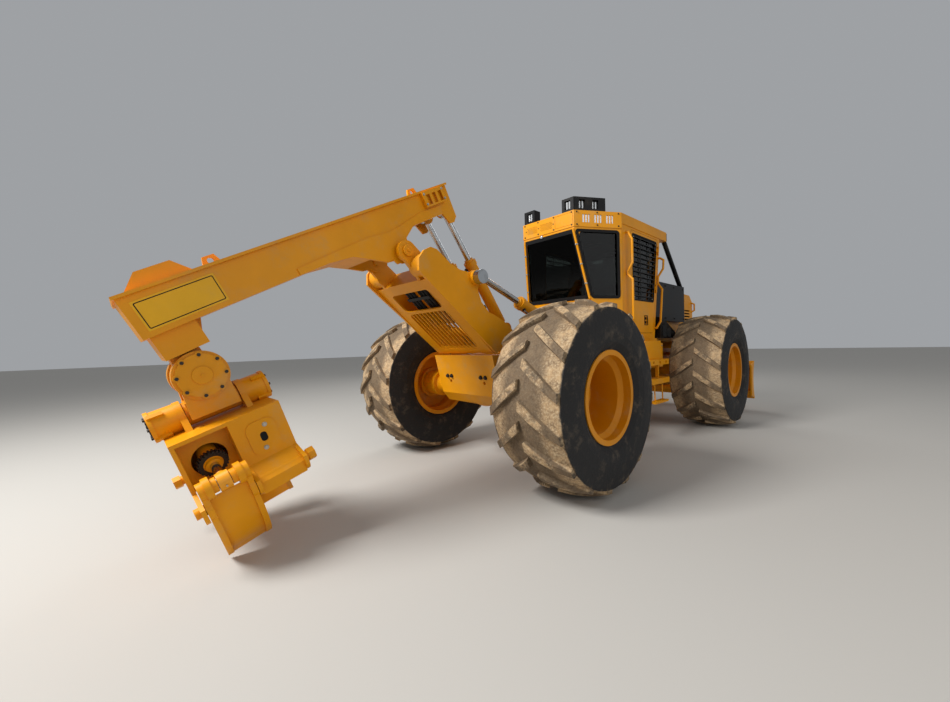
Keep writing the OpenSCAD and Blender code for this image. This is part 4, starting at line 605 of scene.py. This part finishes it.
# Cab
def add_window_seals():
    """Window seals, and what is fixed beside them: guard bolts, latches, rod clamps and sun visors."""
    low, high = SILL - 0.03, WINDOW_TOP + 0.03
    gap = 0.001
    frame_bar("seal_rear", "front_frame", [
        (rear_x(low), -rear_half_at(low) + gap, low), (rear_x(low), rear_half_at(low) - gap, low),
        (rear_x(high), rear_half_at(high) - gap, high), (rear_x(high), -rear_half_at(high) + gap, high)],
        (-1, 0, -0.21), 0.05, 0.055, 0.007, SEAL)
    half, f_low, f_high = 0.705, HOOD_TOP + 0.035, WINDOW_TOP + 0.025
    frame_bar("seal_front", "front_frame", [
        (front_x(z), y, z) for y, z in ((-half, f_low), (half, f_low), (half, f_high), (-half, f_high))],
        (1, 0, -CAB_LEAN), 0.06, 0.045, 0.006, SEAL)
    for side, k in SIDES:
        wall = corner_wall(k)
        far = CORNER_LEN - 0.03
        corners = [wall @ Vector(p) for p in ((corner_start(low) + gap, low, 0), (far, low, 0),
                                              (far, high, 0), (corner_start(high) + gap, high, 0))]
        frame_bar("seal_corner_" + side, "front_frame", corners, wall.to_3x3() @ Vector((0, 0, 1)),
                  0.05, 0.04, 0.007, SEAL)
        w = WINDOW_MARGIN + DOOR_GAP - 0.012
        bottom, top = DOOR_SILL - 0.012, DOOR_TOP - w
        y = k * CAB_HALF
        frame_bar("seal_door_" + side, "door_" + side, [
            (DOOR_X0 + w, y, bottom), (front_x(bottom) - DOOR_POST - w, y, bottom),
            (front_x(top) - DOOR_POST - w, y, top), (DOOR_X0 + w, y, top)],
            (0, k, 0), 0.045, 0.018, 0.003, SEAL)
        # four pale bolts hold the window guard
        inset, bolt_y = 0.05, y - k * 0.004
        places = [(DOOR_X0 + w + inset, bolt_y, bottom + inset),
                  (front_x(bottom) - DOOR_POST - w - inset, bolt_y, bottom + inset),
                  (front_x(top) - DOOR_POST - w - inset, bolt_y, top - inset),
                  (DOOR_X0 + w + inset, bolt_y, top - inset)]
        bolts("guard_bolts_" + side, "door_" + side, places, (0, k, 0), 0.009, BRIGHT_BOLT)
        # latch plate in the handle's pocket, and the frame round the pocket
        latch_x, latch_z = REAR_AXLE + 2.655, 1.735
        plate_on("latch_" + side, "door_" + side, (latch_x - 0.05, y - k * 0.0235, latch_z - 0.05),
                 (latch_x + 0.05, y - k * 0.0205, latch_z + 0.05), SEAL)
        frame_bar("latch_frame_" + side, "door_" + side, [
            (latch_x + dx, y, latch_z + dz)
            for dx, dz in ((-0.062, -0.075), (0.062, -0.075), (0.062, 0.075), (-0.062, 0.075))],
            (0, k, 0), 0.012, 0.012, 0.003, SEAL)
        # clamps on the guard rods, and the visor inside the corner window
        z0, z1 = CAB_TOP - 0.03, SILL - 0.03
        start = Vector((rear_x(z0) - 0.006, k * (rear_half_at(z0) - 0.02), z0))
        end = Vector((rear_x(z1) - 0.006, k * (rear_half_at(z1) - 0.02), z1))
        bm = bmesh.new()
        for t in (0.22, 0.5, 0.78):
            p = start.lerp(end, t)
            disc(bm, p - (end - start).normalized() * 0.009, end - start, 0.021, 0.018, 20, bevel=0.003)
            disc(bm, p + Vector((-0.018, 0, 0)), (-1, 0, 0), 0.008, 0.01, 6)
        finish_piece("rod_clamps_" + side, bm, "front_frame", BRIGHT_BOLT)
        bm = bmesh.new()
        block(bm, (corner_start(2.9) + 0.075, 2.79, -0.075), (CORNER_LEN - 0.07, 2.925, -0.062), 0.004)
        finish_piece("sun_visor_" + side, bm, "front_frame", VISOR, wall)


def add_roof_fittings():
    """Bolts and mesh of the fascia, a black plate behind the mesh as painted shade in its holes, lamp glass
    in its slots and in the lamp boxes, and a lamp under it.
    """
    rear = CAB_REAR_TOP - ROOF_OVER
    z0, z1 = CAB_TOP + 0.028, CAB_TOP + ROOF_H - 0.022
    bolts("fascia_bolts_rear", "front_frame",
          [(rear, y, z) for y in (-0.405, -0.112, 0.16, 0.405) for z in (z0, z1)],
          (-1, 0, 0), 0.009, DARK_STEEL)
    bolts("mesh_bolts", "front_frame", [(rear, y, CAB_TOP + 0.11) for y in (-0.105, 0.155, 0.385)],
          (-1, 0, 0), 0.007, DARK_STEEL)
    lamp = bmesh.new()
    roof_z = CAB_TOP + ROOF_H
    for side, k in SIDES:
        wall = corner_wall(k)
        bolts("fascia_bolts_" + side, "front_frame",
              [(x, z, ROOF_OVER) for x in (0.035, 0.34, 0.665) for z in (z0, z1)],
              (0, 0, 1), 0.009, DARK_STEEL, wall)
        glass = bmesh.new()
        for i in range(3):
            x = 0.117 + i * 0.179
            block(glass, (x + 0.002, CAB_TOP + 0.06, -0.006), (x + 0.11, CAB_TOP + 0.168, 0.002), 0.003)
        for x in (0.130, 0.330):
            for d in (-0.024, 0.024):
                block(glass, (x + d - 0.014, roof_z + 0.045, -0.0535),
                      (x + d + 0.014, roof_z + 0.145, -0.045), 0.005)
        add_part(lamp, glass, wall)
        y = k * (REAR_HALF - 0.110)
        for d in (-0.02, 0.02):
            block(lamp, (CAB_REAR_TOP + 0.030, y + d - 0.013, roof_z + 0.045),
                  (CAB_REAR_TOP + 0.0405, y + d + 0.013, roof_z + 0.145), 0.004)
    finish_piece("lamp_glass", lamp, "front_frame", LENS)
    # a black plate behind the fascia mesh: painted shade that darkens the mesh's holes
    plate_on("mesh_shade_backing", "front_frame", (rear + 0.006, -0.095, CAB_TOP + 0.046),
             (rear + 0.012, 0.375, CAB_TOP + 0.163), SEAL)
    # lamp under the rear fascia
    bm = bmesh.new()
    disc(bm, (rear_x(2.96) - 0.004, 0.10, 2.965), (-1, 0, -0.4), 0.022, 0.025, 24, 0.018, bevel=0.004)
    finish_piece("cab_rear_lamp", bm, "front_frame", LENS)


def pad(name, size, place, turn=0.0, grooves=(), crown=0.05, roll=0.5):
    """A crowned cushion: a subdivided block whose sides pull in, with sewn channels across it."""
    bm = bmesh.new()
    bmesh.ops.create_cube(bm, size=2)
    bmesh.ops.subdivide_edges(bm, edges=bm.edges[:], cuts=23, use_grid_fill=True)
    sx, sy, sz = (d / 2 for d in size)
    for v in bm.verts:
        x, y, z = v.co
        pull = 1 - 0.10 * (x * x * y * y + y * y * z * z + x * x * z * z)
        ball = Vector((x * math.sqrt(1 - y * y / 2 - z * z / 2 + y * y * z * z / 3),
                       y * math.sqrt(1 - x * x / 2 - z * z / 2 + x * x * z * z / 3),
                       z * math.sqrt(1 - x * x / 2 - y * y / 2 + x * x * y * y / 3)))
        p = Vector((x, y, z)).lerp(ball, roll * 0.45) * pull
        rise = (1 - x * x) * (1 - y * y) * crown / sz if z > 0.2 else 0
        dip = sum(math.exp(-((y - g) / 0.035) ** 2) for g in grooves) * 0.010 / sz if z > 0.2 else 0
        seam = 0.012 * math.exp(-((z - 0.55) / 0.06) ** 2)
        v.co = Vector((p.x * sx * (1 - seam), p.y * sy * (1 - seam), (p.z + rise - dip) * sz))
    bmesh.ops.smooth_vert(bm, verts=bm.verts[:], factor=0.3,
                          use_axis_x=True, use_axis_y=True, use_axis_z=True)
    at = Matrix.Translation(place) @ Matrix.Rotation(turn, 4, "Y")
    piece = finish_piece(name, bm, "front_frame", SEAT_CLOTH, at, 80)
    return piece


def add_cab_interior():
    """The seat, side consoles with levers, and a screen by the front post."""
    x, z = REAR_AXLE + 2.200, 1.505
    back_turn = -math.radians(98)
    cushion = pad("seat_cushion", (0.48, 0.50, 0.13), (x + 0.21, 0, z + 0.385),
                  grooves=(-0.45, 0.45), crown=0.018)
    pad("seat_back", (0.62, 0.47, 0.11), (x - 0.050, 0, z + 0.71), turn=back_turn,
        grooves=(-0.5, 0.5), crown=0.015)
    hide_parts("seat")
    pad("seat_headrest", (0.17, 0.27, 0.09), (x - 0.115, 0, z + 1.105), turn=back_turn, crown=0.01)
    bm = bmesh.new()
    block(bm, (x + 0.01, -0.20, z), (x + 0.41, 0.20, z + 0.06), 0.012)
    block(bm, (x + 0.05, -0.17, z + 0.05), (x + 0.37, 0.17, z + 0.27), 0.03)
    block(bm, (x - 0.02, -0.22, z + 0.26), (x + 0.43, 0.22, z + 0.325), 0.012)
    for k in (-1, 1):
        block(bm, (x - 0.02, k * 0.33 - 0.07, z), (x + 0.42, k * 0.33 + 0.07, z + 0.50), 0.02)
        block(bm, (x - 0.04, k * 0.30 - 0.045, z + 0.52), (x + 0.32, k * 0.30 + 0.045, z + 0.57), 0.02)
        block(bm, (x + 0.02, k * 0.30 - 0.02, z + 0.49), (x + 0.06, k * 0.30 + 0.02, z + 0.53), 0.005)
    finish_piece("seat_frame_and_consoles", bm, "front_frame", TRIM)
    bm = bmesh.new()
    for k in (-1, 1):
        disc(bm, (x + 0.36, k * 0.30, z + 0.50), (0.15, 0, 1), 0.012, 0.13, 16)
        disc(bm, (x + 0.378, k * 0.30, z + 0.62), (0.15, 0, 1), 0.024, 0.085, 20, 0.019, bevel=0.008)
    block(bm, (x + 0.56, -0.56, z + 0.70), (x + 0.59, -0.32, z + 0.88), 0.008)
    disc(bm, (x + 0.585, -0.44, z + 0.40), (0, 0, 1), 0.012, 0.31, 12)
    finish_piece("levers_and_screen", bm, "front_frame", SEAL)


# Hydraulics
def add_hydraulics():
    """Pipes along the cylinders, hoses inside the arch, and their couplings."""
    boom_base, boom_rod = (REAR_AXLE + 0.14222, 1.60976), (REAR_AXLE - 0.73351, 2.83354)
    arch_base, arch_rod = (REAR_AXLE + 0.950, 1.475), (REAR_AXLE - 0.61157, 2.09396)
    for label, base, tip, y, reach, body in (("boom", boom_base, boom_rod, 0.165, 0.93, "boom_barrels"),
                                             ("arch", arch_base, arch_rod, 0.580, 1.10, "arch_barrels")):
        pipes, caps = [], bmesh.new()
        for k in (-1, 1):
            at = aimed(base, tip, k * y)
            side = -k if label == "boom" else k
            route = [(0.17, side * 0.035, 0.058), (0.17, side * 0.055, 0.078), (0.20, side * 0.055, 0.083),
                     (reach - 0.12, side * 0.055, 0.083), (reach - 0.09, side * 0.055, 0.080),
                     (reach - 0.09, side * 0.040, 0.055)]
            pipes.append([at @ Vector(p) for p in route])
            for px in (0.17, reach - 0.09):
                disc(caps, at @ Vector((px, side * 0.030, 0.048)), at.to_3x3() @ Vector((0, side * 0.5, 0.8)),
                     0.020, 0.030, 20, bevel=0.003)
            for px in (0.36, 0.62):
                clamp = bmesh.new()
                block(clamp, (-0.022, -0.022, -0.016), (0.022, 0.022, 0.018), 0.004)
                add_part(caps, clamp, at @ Matrix.Translation((px, side * 0.052, 0.074)))
        tube(label + "_cylinder_pipes", body, pipes, 0.009, WORN_STEEL, 0.02)
        finish_piece(label + "_cylinder_couplings", caps, body, DARK_STEEL)
    hoses, ends = [], bmesh.new()
    for y in (-0.165, -0.11, -0.055, 0.055, 0.11, 0.165):
        hoses.append([(0.42, y, 0.185), (0.42, y, 0.10), (0.50, y, 0.055), (0.74, y, 0.035), (0.98, y, 0.045),
                      (1.075, y * 0.9, 0.06)])
        disc(ends, (0.42, y, 0.16), (0, 0, 1), 0.024, 0.032, 6, bevel=0.003)
        disc(ends, (1.045, y * 0.91, 0.056), (1, 0, 0.12), 0.024, 0.036, 6, bevel=0.003)
    tube("arch_hoses", "arch", hoses, 0.017, HOSE, 0.08, ARCH)
    finish_piece("arch_hose_ends", ends, "arch", BRIGHT_BOLT, ARCH)
    # two straps that hold the hoses in the window of the arch
    bm = bmesh.new()
    block(bm, (0.86, -0.20, 0.012), (0.90, 0.20, 0.022), 0.003)
    block(bm, (0.60, -0.20, 0.024), (0.64, 0.20, 0.032), 0.003)
    finish_piece("arch_hose_straps", bm, "arch", BLACK_PAINT, ARCH)


def add_boom_fittings():
    """Blank signs, guard and cover bolts and pin caps of the boom, and the rear frame's wall bolts."""
    # a sign's span along and up the boom, its place and thickness, and the margin of its border
    u0, u1, v0, v1 = 1.467, 1.948, 0.190, 0.385
    face, thick, margin = 0.2501, 0.002, 0.012
    for side, k in BOOM_SIDES:
        bm = bmesh.new()
        y0, y1 = sorted((k * face, k * (face + thick)))
        block(bm, (u0, y0, v0), (u1, y1, v1), 0.0008)
        finish_piece("blank_sign_" + side, bm, "boom", SIGN, BOOM)
        corners = [BOOM @ Vector((u, k * (face + thick), v)) for u, v in
                   ((u0 + margin, v0 + margin), (u1 - margin, v0 + margin),
                    (u1 - margin, v1 - margin), (u0 + margin, v1 - margin))]
        frame_bar("sign_border_" + side, "boom", corners, (0, -k, 0), 0.010, 0.006, 0.0006, SEAL, 0.0004)
    guard_y = 0.296
    bolts("hose_guard_bolts", "boom", [(-0.715, guard_y, 0.31), (-0.475, guard_y, 0.31),
                                       (-0.475, guard_y, 0.405), (-0.715, guard_y, 0.405)],
          (0, 1, 0), 0.010, BRIGHT_BOLT, BOOM)
    # a cap with its bolt on each end of the boom's pivot pin
    for side, k in BOOM_SIDES:
        bm = bmesh.new()
        disc(bm, (0, k * 0.352, 0), (0, k, 0), 0.052, 0.012, 40, bevel=0.003)
        disc(bm, (0, k * 0.363, 0), (0, k, 0), 0.018, 0.012, 6, bevel=0.002)
        finish_piece("pivot_pin_cap_" + side, bm, "boom", YELLOW, BOOM)
    bolts("hood_cover_bolts", "boom", [(u, y, 0.445) for u in (1.50, 1.965) for y in (-0.16, 0.16)],
          (0, 0, 1), 0.010, BRIGHT_BOLT, BOOM)
    # bolts of the rear frame's leaning wall, in the upper two holes of each group of three
    wall_x, wall_top, run, rise = REAR_AXLE - 0.400, 1.310, 0.119, 0.462
    group_y, group_z, group_r = 0.290, 1.040, 0.042
    slope = math.atan2(run, rise)
    places = []
    for k in (-1, 1):
        for a in (math.radians(30), math.radians(150)):
            y, z = k * group_y + group_r * math.cos(a), group_z + group_r * math.sin(a)
            places.append((wall_x + (wall_top - z) * run / rise - 0.001, y, z))
    bolts("rear_wall_bolts", "rear_frame", places, (-math.cos(slope), 0, -math.sin(slope)), 0.020, DARK_STEEL)


# Grapple
def add_grapple_fittings():
    """Covers and their bolts, gland nuts, rod eye bushes, black plates as painted shade in the access slots,
    and tong shells of the grapple.
    """
    for side, k in SIDES:
        places = [(x, k * 0.2045, -z) for x, z in around(8, 0.138, math.radians(12))]
        bolts("swing_cover_bolts_" + side, "crosshead", places, (0, k, 0), 0.012, DARK_STEEL, GRAPPLE,
              washer=False)
        bm = bmesh.new()
        disc(bm, (0, k * 0.204, 0), (0, k, 0), 0.060, 0.010, 48, bevel=0.003)
        disc(bm, (0, k * 0.213, 0), (0, k, 0), 0.010, 0.012, 6)
        finish_piece("swing_cover_hub_" + side, bm, "crosshead", YELLOW, GRAPPLE)
        # this side's bay opens towards it: right bay behind the middle wall, left bay ahead of it
        bay_x = k * BAY_X
        base, tip = (Vector((bay_x, k * y, z)) for y, z in (TONG_BASE, TONG_TIP))
        way = (tip - base).normalized()
        gland = base + way * 0.478
        bm = bmesh.new()
        ring(bm, gland, way, 0.058, 0.080, 0.045, 48)
        turn = along(way)
        teeth = 24
        for i in range(teeth):
            tooth = bmesh.new()
            block(tooth, (0.066, -0.006, 0.0), (0.090, 0.006, 0.045), 0.0015, 1)
            spin = Matrix.Rotation(math.tau * i / teeth, 4, "Z")
            add_part(bm, tooth, Matrix.Translation(gland) @ turn @ spin)
        finish_piece("gland_nut_" + side, bm, "tong_barrel_" + side, DARK_STEEL, GRAPPLE)
        bm = bmesh.new()
        for d in (-1, 1):
            ring(bm, tip + Vector((d * 0.0352, 0, 0)), (d, 0, 0), 0.020, 0.036, 0.0015, 40)
        disc(bm, tip + way * 0.057, way, 0.006, 0.014, 6)
        finish_piece("rod_eye_bush_" + side, bm, "tong_rod_" + side, BRIGHT_BOLT, GRAPPLE)
        bolts("access_cover_bolts_" + side, "grapple",
              [(bay_x + k * dx, -k * 0.368, -0.520 + dz) for dx, dz in ((0.030, 0.078), (-0.014, -0.078))],
              (0, -k, 0), 0.013, BRIGHT_BOLT, GRAPPLE)
        # a thin black plate in each access slot: painted shade for the slot's dark inside
        y0, y1 = sorted((-k * 0.3595, -k * 0.362))
        plate_on("access_slot_shade_" + side, "grapple", (bay_x - 0.0215, y0, -0.5535),
                 (bay_x + 0.0215, y1, -0.4865), SEAL, GRAPPLE, 0.0005)
        # shell plate that closes the tong between its ribs, outside the pin, from the rod's eye to the edge
        bm = bmesh.new()
        web_y, web_z = TONG_WEB_CENTRE
        start = [bm.verts.new((x, k * (web_y + r * math.cos(TONG_WEB[0])), web_z - r * math.sin(TONG_WEB[0])))
                 for x, r in ((bay_x - TONG_WEB_HALF, TONG_WEB_R[0]), (bay_x + TONG_WEB_HALF, TONG_WEB_R[0]),
                              (bay_x + TONG_WEB_HALF, TONG_WEB_R[1]), (bay_x - TONG_WEB_HALF, TONG_WEB_R[1]))]
        face = bm.faces.new(start)
        bmesh.ops.spin(bm, geom=[face] + list(face.edges) + start, cent=(0, k * web_y, web_z), axis=(1, 0, 0),
                       dvec=(0, 0, 0), angle=-k * (TONG_WEB[1] - TONG_WEB[0]), steps=18, use_duplicate=False)
        bmesh.ops.recalc_face_normals(bm, faces=bm.faces[:])
        finish_piece("tong_web_" + side, bm, "tong_" + side, YELLOW, GRAPPLE)
        bm = bmesh.new()
        brake_z = -0.235
        ring(bm, Vector((k * 0.3695, 0, brake_z)), (k, 0, 0), 0.030, 0.058, 0.009, 40)
        for y, z in around(6, 0.076):
            disc(bm, (k * 0.370, y, brake_z + z), (k, 0, 0), 0.010, 0.014, 6)
        finish_piece("brake_cover_bolts_" + side, bm, "grapple", DARK_STEEL, GRAPPLE)


# Wheels and frames
def add_wheel_fittings():
    """Wheel nuts, hub bolts and valve stems."""
    for end, axle_x in (("rear", REAR_AXLE), ("front", FRONT_AXLE)):
        for side, k in SIDES:
            at = axes_matrix((1, 0, 0), (0, 0, 1) if k < 0 else (0, 0, -1), (0, k, 0),
                             (axle_x, k * TRACK, TYRE_R))
            bm = bmesh.new()
            for x, y in around(16, 0.235):
                p = Vector((x, y, -0.088))
                disc(bm, p, (0, 0, 1), 0.021, 0.006, 16)
                disc(bm, p + Vector((0, 0, 0.005)), (0, 0, 1), 0.017, 0.022, 6, bevel=0.002)
                disc(bm, p + Vector((0, 0, 0.025)), (0, 0, 1), 0.009, 0.014, 12)
            for x, y in around(8, 0.125, math.tau / 16):
                disc(bm, (x, y, 0.031), (0, 0, 1), 0.011, 0.010, 6, bevel=0.001)
            finish_piece(f"wheel_nuts_{end}_{side}", bm, f"wheel_{end}_{side}", RIM_YELLOW, at)
            bm = bmesh.new()
            disc(bm, (0, 0.330, -0.05), (0, 0.25, 1), 0.006, 0.075, 12)
            disc(bm, (0, 0.349, 0.024), (0, 0.25, 1), 0.008, 0.016, 12, bevel=0.002)
            finish_piece(f"valve_{end}_{side}", bm, f"wheel_{end}_{side}", BRIGHT_BOLT, at)


def add_body_fittings():
    """Bolts of the guard panels and the tanks, and studs of the treads."""
    for side, k in SIDES:
        places = [(REAR_AXLE + x, k * 0.750, z) for x in (3.16, 3.52, 3.90, 4.33) for z in (1.80, 2.34)]
        bolts("guard_panel_bolts_" + side, "front_frame", places, (0, k, 0), 0.011, DARK_STEEL)
        places = [(REAR_AXLE + x, k * 0.860, z) for z in (1.34, 1.06) for x in (2.60, 3.04)]
        bolts("tank_bolts_" + side, "front_frame", places, (0, k, 0), 0.010, BRIGHT_BOLT)
        bm = bmesh.new()
        tread_x, tread_z, row_y = REAR_AXLE + 2.14, 1.1395, 0.76
        for i in range(9):
            for j in range(3):
                disc(bm, (tread_x + i * 0.092, k * (row_y + j * 0.08), tread_z), (0, 0, 1), 0.012, 0.006, 12,
                     0.007)
        finish_piece("tread_studs_" + side, bm, "front_frame", YELLOW)


add_window_seals()
add_roof_fittings()
add_cab_interior()
add_hydraulics()
add_boom_fittings()
add_grapple_fittings()
add_wheel_fittings()
add_body_fittings()


def set_stage():
    """Pale floor, soft lamps and a pale world."""
    bm = bmesh.new()
    bmesh.ops.create_grid(bm, x_segments=1, y_segments=1, size=60)
    mesh = bpy.data.meshes.new("floor")
    bm.to_mesh(mesh)
    bm.free()
    floor = bpy.data.objects.new("floor", mesh)
    bpy.context.scene.collection.objects.link(floor)
    s = Shader("floor_pale")
    mesh.materials.append(s.done(linear("#b9b5ae"), 0.9))
    world = bpy.data.worlds.new("studio")
    world.use_nodes = True
    world.node_tree.nodes["Background"].inputs["Color"].default_value = (0.86, 0.89, 0.93, 1)
    world.node_tree.nodes["Background"].inputs["Strength"].default_value = 0.4
    bpy.context.scene.world = world
    for name, place, target, power, size in (
            ("key", (-9, 1.6, 8), (0, 0, 1.2), 1350, 3.5),
            ("fill", (-2, -11, 5), (0.5, 0, 1.2), 230, 8),
            ("back", (8, 7, 8), (0, 0, 1.5), 300, 7)):
        lamp = bpy.data.lights.new(name, "AREA")
        lamp.energy = power
        lamp.size = size
        holder = bpy.data.objects.new(name, lamp)
        bpy.context.scene.collection.objects.link(holder)
        holder.location = place
        holder.rotation_euler = (Vector(target) - Vector(place)).to_track_quat("-Z", "Y").to_euler()
    bpy.context.scene.view_settings.view_transform = "Standard"


place_camera()
set_stage()
